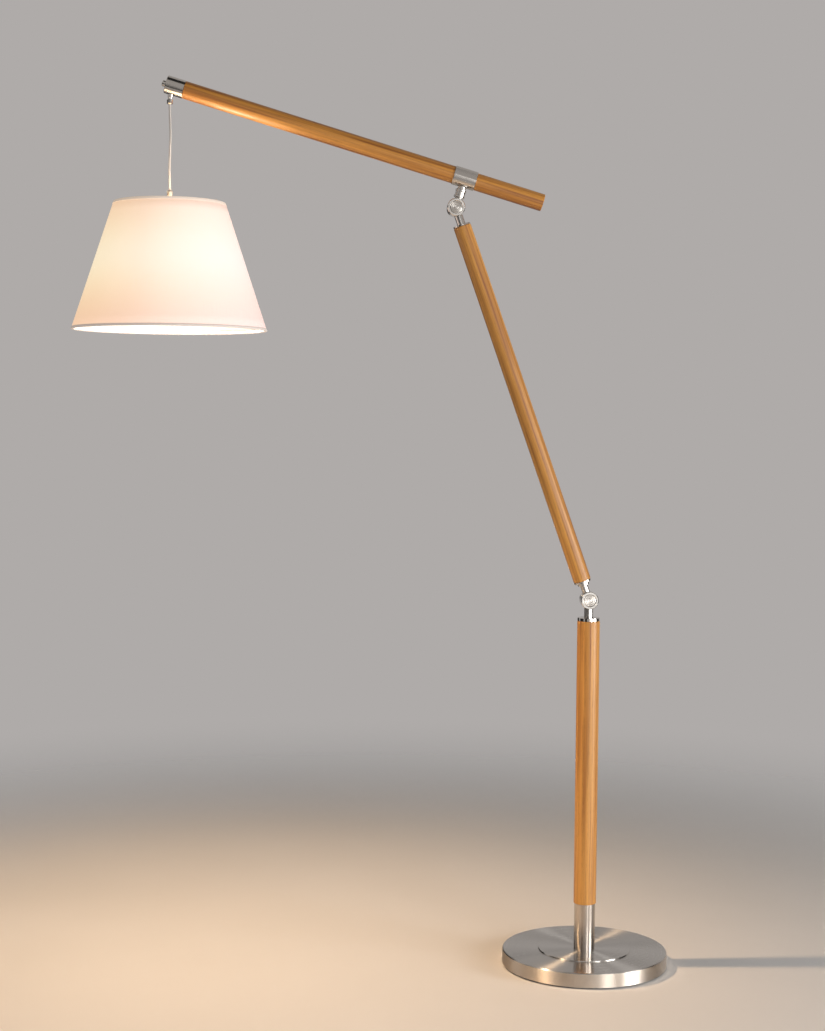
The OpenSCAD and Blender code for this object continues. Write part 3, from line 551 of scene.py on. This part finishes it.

# %% [markdown]
# ## Brushed nickel
# The base, the tube above it, the sleeve on the boom, its end cap and the faces of the knuckles were spun
# against an abrasive and then plated with nickel, so fine scratches run round each of them. Light that meets
# such scratches is smeared across them: on the flat base it becomes a bow tie, and on a tube a stripe along
# it. One group draws the scratches from a coordinate that runs across them. The smear itself is the shader's
# anisotropy, with a tangent that runs round the piece's own axis. The upright rim of the base was left a
# little duller than its top, and its plate is given a paler, warmer colour, which paints in a soft sheen
# there; both change with the radius.

# %% Brushed streaks group
SCRATCHES_PER_METRE = 2600.0
SCRATCH_RUN = 1.6
brushed_streaks, streak_in, streak_out = effect(
    "brushed_streaks",
    [
        ("Across", "Float", 0.0), ("Around", "Float", 0.0), ("Lines per Metre", "Float", SCRATCHES_PER_METRE),
        ("Place", "Vector", None), ("Dullness", "Float", 0.2),
    ],
    [("Tone", "Float"), ("Roughness", "Float"), ("Height", "Float")],
)
scratch_count = sums(brushed_streaks, "MULTIPLY", streak_in["Across"], streak_in["Lines per Metre"])
scratch_turn = sums(brushed_streaks, "MULTIPLY", streak_in["Around"], SCRATCH_RUN)
scratch_place = add(brushed_streaks, "ShaderNodeCombineXYZ", {0: scratch_count, 1: scratch_turn}).outputs[0]
scratches = noise(brushed_streaks, scratch_place, detail=4.0, roughness=0.7)
handled = noise(brushed_streaks, streak_in["Place"], scale=14.0, detail=3.0, roughness=0.6)
dull = plus(brushed_streaks, streak_in["Dullness"], scratches, 0.16)
brushed_streaks.links.new(plus(brushed_streaks, 0.90, scratches, 0.20), streak_out["Tone"])
brushed_streaks.links.new(plus(brushed_streaks, dull, handled, 0.08), streak_out["Roughness"])
brushed_streaks.links.new(scratches, streak_out["Height"])
print("The brushing group has", len(brushed_streaks.nodes), "nodes")

# %% Brushed nickel round an axis
NICKEL = light(206, 201, 194)
# The rim's plate is paler and warmer than the top's, which paints in a soft sheen on the rim.
PAINTED_RIM_SHEEN = light(243, 232, 219)
RIM_DULLNESS = 0.25
SCRATCH_DEPTH = 0.000001
QUARTER_TURN = 0.25


def brushed_on(node, lie, way, across_is_radius, smear, dullness, plate=NICKEL, rim_r=None):
    """Nickel brushed round an axis. Lie is the axis's centre and turn, and way is its direction."""
    material, tree, shader, place = finish(
        "brushed_nickel_" + node, Metallic=1.0, Anisotropic=smear, Anisotropic_Rotation=QUARTER_TURN)
    own = split(tree, turned_place(tree, place, *lie))
    radius = from_axis(tree, own[0], own[1])
    angle = sums(tree, "ARCTAN2", own[1], own[0])
    across = sums(tree, "ADD", radius, own[2]) if across_is_radius else own[2]
    feeds = {"Across": across, "Around": angle, "Place": place, "Dullness": dullness}
    streaks = use(tree, brushed_streaks, feeds)
    roughness = streaks["Roughness"]
    if rim_r:
        on_rim = sums(tree, "GREATER_THAN", radius, rim_r)
        # On the rim the plate turns paler and warmer: a painted sheen.
        plate = mixed(tree, on_rim, plate, PAINTED_RIM_SHEEN)
        roughness = plus(tree, roughness, on_rim, RIM_DULLNESS)
    tree.links.new(mixed(tree, 1.0, plate, streaks["Tone"], "MULTIPLY"), shader.inputs["Base Color"])
    tree.links.new(roughness, shader.inputs["Roughness"])
    tree.links.new(bump(tree, streaks["Height"], SCRATCH_DEPTH), shader.inputs["Normal"])
    outward = add(tree, "ShaderNodeVectorMath", {0: place, 1: lie[0]}, operation="SUBTRACT").outputs[0]
    round_it = add(tree, "ShaderNodeVectorMath", {0: way, 1: outward}, operation="CROSS_PRODUCT").outputs[0]
    posed = add(tree, "ShaderNodeVectorTransform", {0: round_it}, convert_from="OBJECT", convert_to="WORLD")
    tree.links.new(posed.outputs[0], shader.inputs["Tangent"])
    return material


print("There are about", SCRATCHES_PER_METRE/1000, "scratches to the millimetre")

# %% Brushed nickel on the base, tube, sleeve, end cap and knuckle faces
# The tube's plate is a darker, warmer copy of the nickel, which paints in the dim, warm reflection on it.
TUBE_NICKEL_PAINTED_DIM = light(199, 190, 181)
RIM_EDGE = 0.0004
UPRIGHT = ((0, 0, 0), (0, 0, 0))
UP_WAY = (0, 0, 1)
ALONG_BOOM = (tuple(BOOM_LINE), (0, TILT + math.pi/2, 0))
BOOM_WAY = (math.cos(TILT), 0, -math.sin(TILT))
AXLE_TURN = (math.pi/2, 0, 0)
AXLE_WAY = (0, 1, 0)

base_low, base_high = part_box("base_cover")
BASE_RIM_R = (base_high.x - base_low.x)/2 - RIM_EDGE
finishes["base_cover"] = brushed_on(
    "base_cover", UPRIGHT, UP_WAY, True, smear=1.0, dullness=0.13, rim_r=BASE_RIM_R)
finishes["post_tube"] = brushed_on(
    "post_tube", UPRIGHT, UP_WAY, False, smear=0.85, dullness=0.12, plate=TUBE_NICKEL_PAINTED_DIM)
for node in ("boom_sleeve", "boom_end_cap"):
    finishes[node] = brushed_on(node, ALONG_BOOM, BOOM_WAY, False, smear=0.85, dullness=0.05)
for knuckle, axle in (("lower", LOWER_AXLE), ("upper", UPPER_AXLE)):
    for side in ("front", "rear"):
        node = knuckle + "_" + side + "_face_cap"
        finishes[node] = brushed_on(
            node, (tuple(axle), AXLE_TURN), AXLE_WAY, True, smear=0.6, dullness=0.22)
print("Brushed nickel is on", ", ".join(list(finishes)[len(POLES):]))

# %% [markdown]
# ## Polished nickel
# The drums and necks of the knuckles, the pole caps and the hanger were polished after plating, and the small
# grip on the cord was left satin. Polish is never quite even: handling leaves faint greasy patches that are
# a little rougher, and the buff leaves hairlines. One group gives both, and a slight bump keeps a reflection
# from being perfectly straight. Brass threads inside the lamp get the same marks.

# %% Handling marks group
handling, handling_in, handling_out = effect(
    "handling_marks", [("Place", "Vector", None), ("Polish", "Float", 0.10), ("Smear", "Float", 0.10)],
    [("Roughness", "Float"), ("Tone", "Float"), ("Height", "Float")],
)
patches = noise(handling, handling_in["Place"], scale=55.0, detail=4.0, roughness=0.6)
patch_share = ramp(handling, patches, [(0.42, grey(0)), (0.68, grey(1))], "EASE")
hairlines = noise(handling, stretched(handling, handling_in["Place"], (260, 2100, 900)), detail=2.0)
worn = plus(handling, handling_in["Polish"], patch_share, handling_in["Smear"])
darkened = sums(handling, "MULTIPLY", patch_share, 0.06)
handling.links.new(plus(handling, worn, hairlines, 0.05), handling_out["Roughness"])
handling.links.new(sums(handling, "SUBTRACT", 1.0, darkened), handling_out["Tone"])
handling.links.new(patches, handling_out["Height"])
print("The handling group has", len(handling.nodes), "nodes")

# %% Polished nickel, satin nickel and brass
PATCH_DEPTH = 0.00001


def metal(name, colour, polish, smear):
    """A polished metal with handling marks."""
    material, tree, shader, place = finish(name, Metallic=1.0)
    marks = use(tree, handling, {"Place": place, "Polish": polish, "Smear": smear})
    tree.links.new(mixed(tree, 1.0, colour, marks["Tone"], "MULTIPLY"), shader.inputs["Base Color"])
    tree.links.new(marks["Roughness"], shader.inputs["Roughness"])
    tree.links.new(bump(tree, marks["Height"], PATCH_DEPTH), shader.inputs["Normal"])
    return material


by_slot = {
    "polished_nickel": metal("polished_nickel", light(214, 210, 204), polish=0.07, smear=0.10),
    "brass": metal("threaded_brass", light(196, 160, 92), polish=0.24, smear=0.16),
}
finishes["cord_grip"] = metal("satin_nickel", light(232, 223, 208), polish=0.32, smear=0.08)
print("Three metals share the handling marks")

# %% [markdown]
# ## Iron, rubber and plastic
# These pieces are mostly out of sight: the cast weight inside the base, the ring of rubber under it, the
# washers and the bush, and the white plastic of the lampholder. A cast skin is pitted, rubber has a fine
# dusty grain, and moulded plastic has a very fine spark texture, so one speckle group serves all three at
# different sizes.

# %% Speckle group
speckle, speckle_in, speckle_out = effect(
    "moulded_speckle",
    [
        ("Place", "Vector", None), ("Grains per Metre", "Float", 900.0), ("Base", "Color", grey(0.5)),
        ("Dust", "Color", grey(0.6)), ("Gloss", "Float", 0.5),
    ],
    [("Colour", "Color"), ("Roughness", "Float"), ("Height", "Float")],
)
grains = noise(speckle, speckle_in["Place"], scale=speckle_in["Grains per Metre"], detail=3.0)
clouds = noise(speckle, speckle_in["Place"], scale=30.0, detail=3.0)
dusty = sums(speckle, "MULTIPLY", ramp(speckle, clouds, [(0.40, grey(0)), (0.75, grey(1))]), 0.5)
speckle.links.new(mixed(speckle, dusty, speckle_in["Base"], speckle_in["Dust"]), speckle_out["Colour"])
speckle.links.new(plus(speckle, speckle_in["Gloss"], grains, 0.2), speckle_out["Roughness"])
speckle.links.new(grains, speckle_out["Height"])
print("The speckle group has", len(speckle.nodes), "nodes")

# %% Cast iron, rubber and white plastic
# Each has a name, a base tone, a dust tone, grains per metre, a gloss and a depth in metres.
MOULDED = {
    "cast_weight": ("cast_iron", light(58, 58, 60), light(84, 78, 72), 420.0, 0.55, 0.0003),
    "rubber": ("black_rubber", light(30, 30, 31), light(62, 60, 57), 1600.0, 0.62, 0.00006),
    "holder_plastic": (
        "white_plastic", light(236, 234, 228), light(224, 220, 210), 2400.0, 0.28, 0.00002),
}


def speckled(name, base, dust, grain_count, gloss, relief_depth):
    """A moulded skin with grains and some dust."""
    material, tree, shader, place = finish(name)
    feeds = {"Place": place, "Grains per Metre": grain_count, "Base": base, "Dust": dust, "Gloss": gloss}
    skin = use(tree, speckle, feeds)
    tree.links.new(skin["Colour"], shader.inputs["Base Color"])
    tree.links.new(skin["Roughness"], shader.inputs["Roughness"])
    tree.links.new(bump(tree, skin["Height"], relief_depth), shader.inputs["Normal"])
    return material


for slot, look in MOULDED.items():
    by_slot[slot] = speckled(*look)
print(len(MOULDED), "moulded materials share the speckle")

# %% [markdown]
# ## The clear cord
# The cord is clear plastic over twisted silver strands, so it looks silvery white and glints in short dashes.
# Real glass with wires inside would be slow and would leave the exported model empty, so the strands are
# drawn on the surface, their glints are painted into the colour as brighter dashes, and a clear coat lies
# over them.

# %% Clear cord
STRANDS = 3.0
STRAND_TWIST = 1250.0
STRAND_DEPTH = 0.00004
SILVER_AND_PAINTED_GLINTS = [(0.2, light(150, 147, 144)), (0.5, light(206, 203, 199)), (0.75, light(240, 238, 234))]
clear_plastic, tree, shader, place = finish(
    "clear_cord", Coat_Weight=1.0, Coat_Roughness=0.06, Roughness=0.35, Metallic=0.35)
wound = split(tree, turned_place(tree, place, tuple(STOP_BEAD)))
strand_angle = sums(tree, "ARCTAN2", wound[1], wound[0])
twist = plus(tree, sums(tree, "MULTIPLY", strand_angle, STRANDS), wound[2], STRAND_TWIST)
strands = plus(tree, 0.5, sums(tree, "SINE", twist), 0.5)
# Painted glints: dashes of noise that brighten the strands' colour.
glints = noise(tree, stretched(tree, place, (500, 500, 160)), detail=2.0)
shine = plus(tree, sums(tree, "MULTIPLY", strands, 0.55), glints, 0.45)
tree.links.new(ramp(tree, shine, SILVER_AND_PAINTED_GLINTS), shader.inputs["Base Color"])
tree.links.new(bump(tree, strands, STRAND_DEPTH), shader.inputs["Normal"])
by_slot["cord"] = clear_plastic
pendant_cord.data.materials.clear()
pendant_cord.data.materials.append(clear_plastic)

# %% [markdown]
# ## Linen and lining
# The shade is lit from inside, so its cloth glows: nearly white beside the bulb, and warmer and dimmer
# towards the edges, where the light passes at a slant. Light that truly passes through cloth is slow and
# noisy, so the outer face is given an emission that changes with height and from side to side, and ordinary
# light adds the rest. The weave is drawn in the flat cut's own coordinates, with thicker threads here and
# there, as in any linen. The lining inside is smooth and white, and real light from the bulb falls on it.
# The tape at the edges is ribbed, and it glows less than the cloth.

# %% Weave group
THREADS_PER_METRE = 1500.0
linen_weave, weave_in, weave_out = effect(
    "linen_weave", [("Cloth", "Vector", None), ("Threads per Metre", "Float", THREADS_PER_METRE)],
    [("Threads", "Float"), ("Slubs", "Float")],
)


def thread_wave(along):
    """A wave along one way of the cloth, with half a turn to each thread."""
    count = sums(linen_weave, "MULTIPLY", along, weave_in["Threads per Metre"])
    return sums(linen_weave, "SINE", sums(linen_weave, "MULTIPLY", count, math.pi))


thread = split(linen_weave, weave_in["Cloth"])
crossing = sums(linen_weave, "MULTIPLY", thread_wave(thread[0]), thread_wave(thread[1]))
thick_weft = noise(linen_weave, stretched(linen_weave, weave_in["Cloth"], (26, 900, 1)), detail=2.0)
thick_warp = noise(linen_weave, stretched(linen_weave, weave_in["Cloth"], (900, 26, 1)), detail=2.0)
slub = sums(linen_weave, "MULTIPLY", sums(linen_weave, "ADD", thick_weft, thick_warp), 0.5)
linen_weave.links.new(plus(linen_weave, 0.5, crossing, 0.5), weave_out["Threads"])
linen_weave.links.new(slub, weave_out["Slubs"])
print("The weave has", THREADS_PER_METRE/1000, "threads to the millimetre")

# %% Shade linen
GLOW = [
    (0.00, light(243, 198, 164)), (0.16, light(246, 203, 160)), (0.38, light(255, 231, 190)),
    (0.56, light(255, 240, 208)), (0.74, light(255, 232, 192)), (0.92, light(250, 213, 170)),
    (1.00, light(246, 205, 164)),
]
# The glow is painted brighter and warmer towards -x and dimmer and cooler towards +x, so it falls unevenly
# round the shade.
LOPSIDED_GLOW = [(0.0, (1.0, 0.98, 0.86)), (0.4, (0.96, 0.93, 0.95)), (1.0, (0.60, 0.50, 0.67))]
GLOW_STRENGTH = 0.85
LINEN = light(210, 204, 203)
LINEN_DEPTH = 0.00005
SHADE_FOOT = (SHADE_AXIS.x, 0, shade_low.z)


def cloth_place(tree):
    """The coordinates of the flat cut."""
    return add(tree, "ShaderNodeUVMap", uv_map=shade_cloth.data.uv_layers[0].name).outputs[0]


linen, tree, shader, place = finish(
    "shade_linen", Roughness=0.85, Sheen_Weight=0.12, Emission_Strength=GLOW_STRENGTH)
weave = use(tree, linen_weave, {"Cloth": cloth_place(tree)})
mottle = plus(tree, 0.93, weave["Slubs"], 0.14)
on_shade = split(tree, turned_place(tree, place, SHADE_FOOT))
glow_up = ramp(tree, sums(tree, "DIVIDE", on_shade[2], SHADE_H), GLOW, "B_SPLINE")
sideways = sums(tree, "ADD", sums(tree, "DIVIDE", on_shade[0], 2*SHADE_BOTTOM_R), 0.5)
glow = mixed(tree, 1.0, glow_up, ramp(tree, sideways, LOPSIDED_GLOW, "B_SPLINE"), "MULTIPLY")
relief = sums(tree, "ADD", weave["Threads"], weave["Slubs"])
tree.links.new(mixed(tree, 1.0, LINEN, mottle, "MULTIPLY"), shader.inputs["Base Color"])
tree.links.new(mixed(tree, 1.0, glow, mottle, "MULTIPLY"), shader.inputs["Emission Color"])
tree.links.new(bump(tree, relief, LINEN_DEPTH), shader.inputs["Normal"])
print("The linen glows in", len(GLOW), "steps of height and", len(LOPSIDED_GLOW), "from side to side")

# %% Shade lining
LINING_DEPTH = 0.00003
lining, tree, shader, place = finish("shade_lining", Roughness=0.5)
weave = use(tree, linen_weave, {"Cloth": cloth_place(tree)})
lining_tone = mixed(tree, weave["Slubs"], light(246, 243, 236), light(232, 226, 214))
tree.links.new(lining_tone, shader.inputs["Base Color"])
tree.links.new(bump(tree, weave["Threads"], LINING_DEPTH), shader.inputs["Normal"])
shade_cloth.data.materials.clear()
shade_cloth.data.materials.append(linen)
shade_cloth.data.materials.append(lining)
by_slot["shade_cloth"] = linen
print("The shade has", len(shade_cloth.data.materials), "cloths")

# %% Tape on the shade's edges
TAPE_GLOW = [(0.0, light(142, 130, 121)), (1.0, light(168, 150, 130))]
TAPE_RIBS = 900.0
RIB_DEPTH = 0.00003
hem, tree, shader, place = finish("edge_tape", Roughness=0.7, Sheen_Weight=0.1, Emission_Strength=1.0)
tape_place = turned_place(tree, place, SHADE_FOOT)
on_tape = split(tree, tape_place)
tape_glow = ramp(tree, sums(tree, "DIVIDE", on_tape[2], SHADE_H), TAPE_GLOW)
tape_angle = sums(tree, "ARCTAN2", on_tape[1], on_tape[0])
ribs = sums(tree, "SINE", sums(tree, "MULTIPLY", tape_angle, TAPE_RIBS))
rubbed = noise(tree, tape_place, scale=120.0, detail=3.0)
tree.links.new(tape_glow, shader.inputs["Emission Color"])
tree.links.new(mixed(tree, rubbed, light(201, 189, 183), light(213, 202, 195)), shader.inputs["Base Color"])
tree.links.new(bump(tree, ribs, RIB_DEPTH), shader.inputs["Normal"])
by_slot["hem_cloth"] = hem
for tape in (top_tape, bottom_tape):
    tape.data.materials.clear()
    tape.data.materials.append(hem)
print("The tape has", round(TAPE_RIBS), "ribs round the shade")

# %% [markdown]
# ## The bulb
# The bulb is frosted white glass, and it is on: its face glows, a little less towards the neck. The light
# that it gives to the lining, the boom and the floor comes from a point light at its centre, and the glass
# casts no shadow, so that it doesn't shut the light in. A wide beam under it stands for the stronger light
# that such a bulb sends down, and a faint disc of light fills the open top, where the lining throws some of
# it up onto the boom. All three hang on the pendant's own body, so they move with the shade. Blender can also
# aim light rays at a glowing surface, as it does at a lamp. Cloth, tape and glass only glow softly here, so
# that is turned off for them. It leaves more rays for the three lights, and the wood above the shade isn't
# dotted.

# %% Frosted bulb
BULB_GLOW = [(0.0, light(255, 250, 238)), (0.6, light(255, 244, 222)), (1.0, light(250, 214, 168))]
bulb_low, bulb_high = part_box("bulb_glass")
frosted, tree, shader, place = finish("frosted_bulb", Roughness=0.3, Emission_Strength=1.6)
on_bulb = split(tree, turned_place(tree, place, (SHADE_AXIS.x, 0, bulb_low.z)))
bulb_up = sums(tree, "DIVIDE", on_bulb[2], bulb_high.z - bulb_low.z)
frost = noise(tree, place, scale=1800.0, detail=2.0)
tree.links.new(ramp(tree, bulb_up, BULB_GLOW), shader.inputs["Emission Color"])
tree.links.new(mixed(tree, frost, light(246, 244, 240), light(232, 229, 222)), shader.inputs["Base Color"])
by_slot["bulb"] = frosted
nodes["bulb_glass"].visible_shadow = False
for glowing in (linen, hem, frosted):
    glowing.cycles.emission_sampling = "NONE"
print("The bulb is", round(1000*(bulb_high.z - bulb_low.z)), "mm tall")

# %% Light of the bulb
BULB_POWER = 3.6
BULB_SOFTNESS = 0.026
BULB_CENTRE_UP = 0.031
BEAM_POWER = 54.0
BEAM_SPREAD = math.radians(128)
BEAM_BLEND = 0.7
BEAM_SOFTNESS = 0.03
BEAM_DROP = 0.032
TOP_GLOW_POWER = 0.42
TOP_GLOW_WIDTH = 1.7*SHADE_TOP_R


def hung_light(name, kind, power, colour, height):
    """A light on the shade's axis, which moves with the pendant."""
    data = bpy.data.lights.new(name, kind)
    data.energy = power
    data.color = colour[:3]
    lit = bpy.data.objects.new(name, data)
    bpy.context.scene.collection.objects.link(lit)
    lit.parent = frame["bodies"]["pendant"]
    lit.location = (SHADE_AXIS.x, 0, height)
    return lit


bulb_light = hung_light("bulb_light", "POINT", BULB_POWER, light(255, 252, 246), bulb_low.z + BULB_CENTRE_UP)
bulb_light.data.shadow_soft_size = BULB_SOFTNESS
bulb_beam = hung_light("bulb_beam", "SPOT", BEAM_POWER, light(255, 215, 168), bulb_low.z - BEAM_DROP)
bulb_beam.data.spot_size = BEAM_SPREAD
bulb_beam.data.spot_blend = BEAM_BLEND
bulb_beam.data.shadow_soft_size = BEAM_SOFTNESS
open_top_glow = hung_light("open_top_glow", "AREA", TOP_GLOW_POWER, light(255, 196, 132), shade_high.z)
open_top_glow.data.shape = "DISK"
open_top_glow.data.size = TOP_GLOW_WIDTH
open_top_glow.rotation_euler = (math.pi, 0, 0)
print("The bulb's light is at", [round(x, 3) for x in bulb_light.location])

# %% Put a finish on every CAD node
slot_of = {part["node"]: part["material_slot"] for part in frame["record"]["subparts"]}
for name, node in nodes.items():
    node.data.materials.clear()
    node.data.materials.append(finishes.get(name) or by_slot[slot_of[name]])
print(len(nodes), "CAD nodes carry", len({n.data.materials[0].name for n in nodes.values()}), "finishes")

# %% [markdown]
# ## Floor, background and studio light
# A plain pale floor under the lamp fades into a plain pale background, so there is no horizon and no wall to
# get in the way of a view from behind. Two tall soft lights on the right draw the two bright stripes on the
# tubes, a weak one in front keeps the faces of the knuckles pale, and dark cards outside the view give
# polished metal something dark to mirror.

# %% Floor
FLOOR_R = 6.0
FLOOR_SIDES = 96
FLOOR_CENTRE = (-0.35, 0, 0)
FLOOR_TONES = (light(232, 227, 223), light(226, 221, 216))


def directly_seen(tree):
    """1 for the camera's rays and for those that are mirrored or pass through, and 0 for the others."""
    rays = add(tree, "ShaderNodeLightPath").outputs
    bent = sums(tree, "ADD", rays["Is Glossy Ray"], rays["Is Transmission Ray"])
    return sums(tree, "ADD", rays["Is Camera Ray"], bent, clamp=True)


bpy.ops.object.select_all(action="DESELECT")
bpy.ops.mesh.primitive_circle_add(
    vertices=FLOOR_SIDES, radius=FLOOR_R, fill_type="NGON", location=FLOOR_CENTRE)
floor = bpy.context.object
floor.name = "floor"
floor_paint, tree, shader, place = finish("floor_paint", Roughness=0.8, Emission_Strength=1.0)
on_floor = split(tree, place)
outwards = sums(tree, "DIVIDE", from_axis(tree, on_floor[0], on_floor[1]), FLOOR_R)
near = ramp(tree, outwards, [(0.16, grey(1)), (0.50, grey(0))], "EASE")
far_glow = ramp(tree, outwards, [(0.16, grey(0)), (0.45, grey(0.10))], "EASE")
floor_mottle = noise(tree, place, scale=3.0, detail=4.0)
tree.links.new(mixed(tree, floor_mottle, *FLOOR_TONES), shader.inputs["Base Color"])
tree.links.new(near, shader.inputs["Alpha"])
tree.links.new(mixed(tree, directly_seen(tree), grey(0), far_glow), shader.inputs["Emission Color"])
floor.data.materials.append(floor_paint)
print("The floor is", 2*FLOOR_R, "m across")

# %% Background
BACKGROUND = light(175, 171, 169)
AMBIENT = [(0.0, grey(0.34)), (1.0, grey(0.04))]
studio = bpy.data.worlds.new("studio")
bpy.context.scene.world = studio
studio.use_nodes = True
sky = studio.node_tree
ray_way = split(sky, add(sky, "ShaderNodeTexCoord").outputs["Generated"])
ambient = ramp(sky, ray_way[2], AMBIENT)
backdrop = mixed(sky, directly_seen(sky), ambient, BACKGROUND)
sky.links.new(backdrop, sky.nodes["Background"].inputs["Color"])
print("The background is", [round(x, 3) for x in BACKGROUND[:3]], "in linear light")

# %% Studio lights
LAMP_MIDDLE = Vector((-0.40, 0, 1.0))


def softbox(name, place, width, height, power):
    """An area light aimed at the middle of the lamp."""
    data = bpy.data.lights.new(name, "AREA")
    data.shape = "RECTANGLE"
    data.size = width
    data.size_y = height
    data.energy = power
    box = bpy.data.objects.new(name, data)
    bpy.context.scene.collection.objects.link(box)
    box.location = place
    box.rotation_euler = (LAMP_MIDDLE - Vector(place)).to_track_quat("-Z", "Y").to_euler()


softbox("key_low", (1.32, -2.96, 0.75), width=0.85, height=1.4, power=32.0)
softbox("key_side", (2.75, -1.6, 0.85), width=1.3, height=1.4, power=72.0)
softbox("face_fill", (0.32, -3.7, 1.15), width=0.6, height=2.0, power=3.5)

# %% Dark cards
card_black, tree, shader, place = finish("card_black", Roughness=0.9)
card_tone = mixed(tree, noise(tree, place, scale=4.0), light(20, 20, 21), light(34, 34, 35))
tree.links.new(card_tone, shader.inputs["Base Color"])


def dark_card(name, place, size, height):
    """A black card that only mirrors can see."""
    bpy.ops.object.select_all(action="DESELECT")
    bpy.ops.mesh.primitive_plane_add(size=size, location=place)
    card = bpy.context.object
    card.name = name
    card.scale = (1.0, height/size, 1.0)
    card.rotation_euler = (LAMP_MIDDLE - Vector(place)).to_track_quat("Z", "Y").to_euler()
    card.visible_camera = False
    card.visible_diffuse = False
    card.visible_shadow = False
    card.visible_transmission = False
    card.data.materials.append(card_black)


dark_card("card_front_left", (-2.2, -3.1, 1.0), size=1.5, height=3.0)
dark_card("card_left", (-3.4, -0.4, 1.0), size=2.6, height=3.2)
dark_card("card_back_left", (-2.0, 3.0, 1.0), size=3.0, height=3.0)
dark_card("card_right", (2.9, 0.7, 1.0), size=1.7, height=3.0)
dark_card("card_over", (-0.5, -0.5, 3.6), size=1.5, height=1.5)
bpy.context.scene.view_settings.view_transform = "Standard"
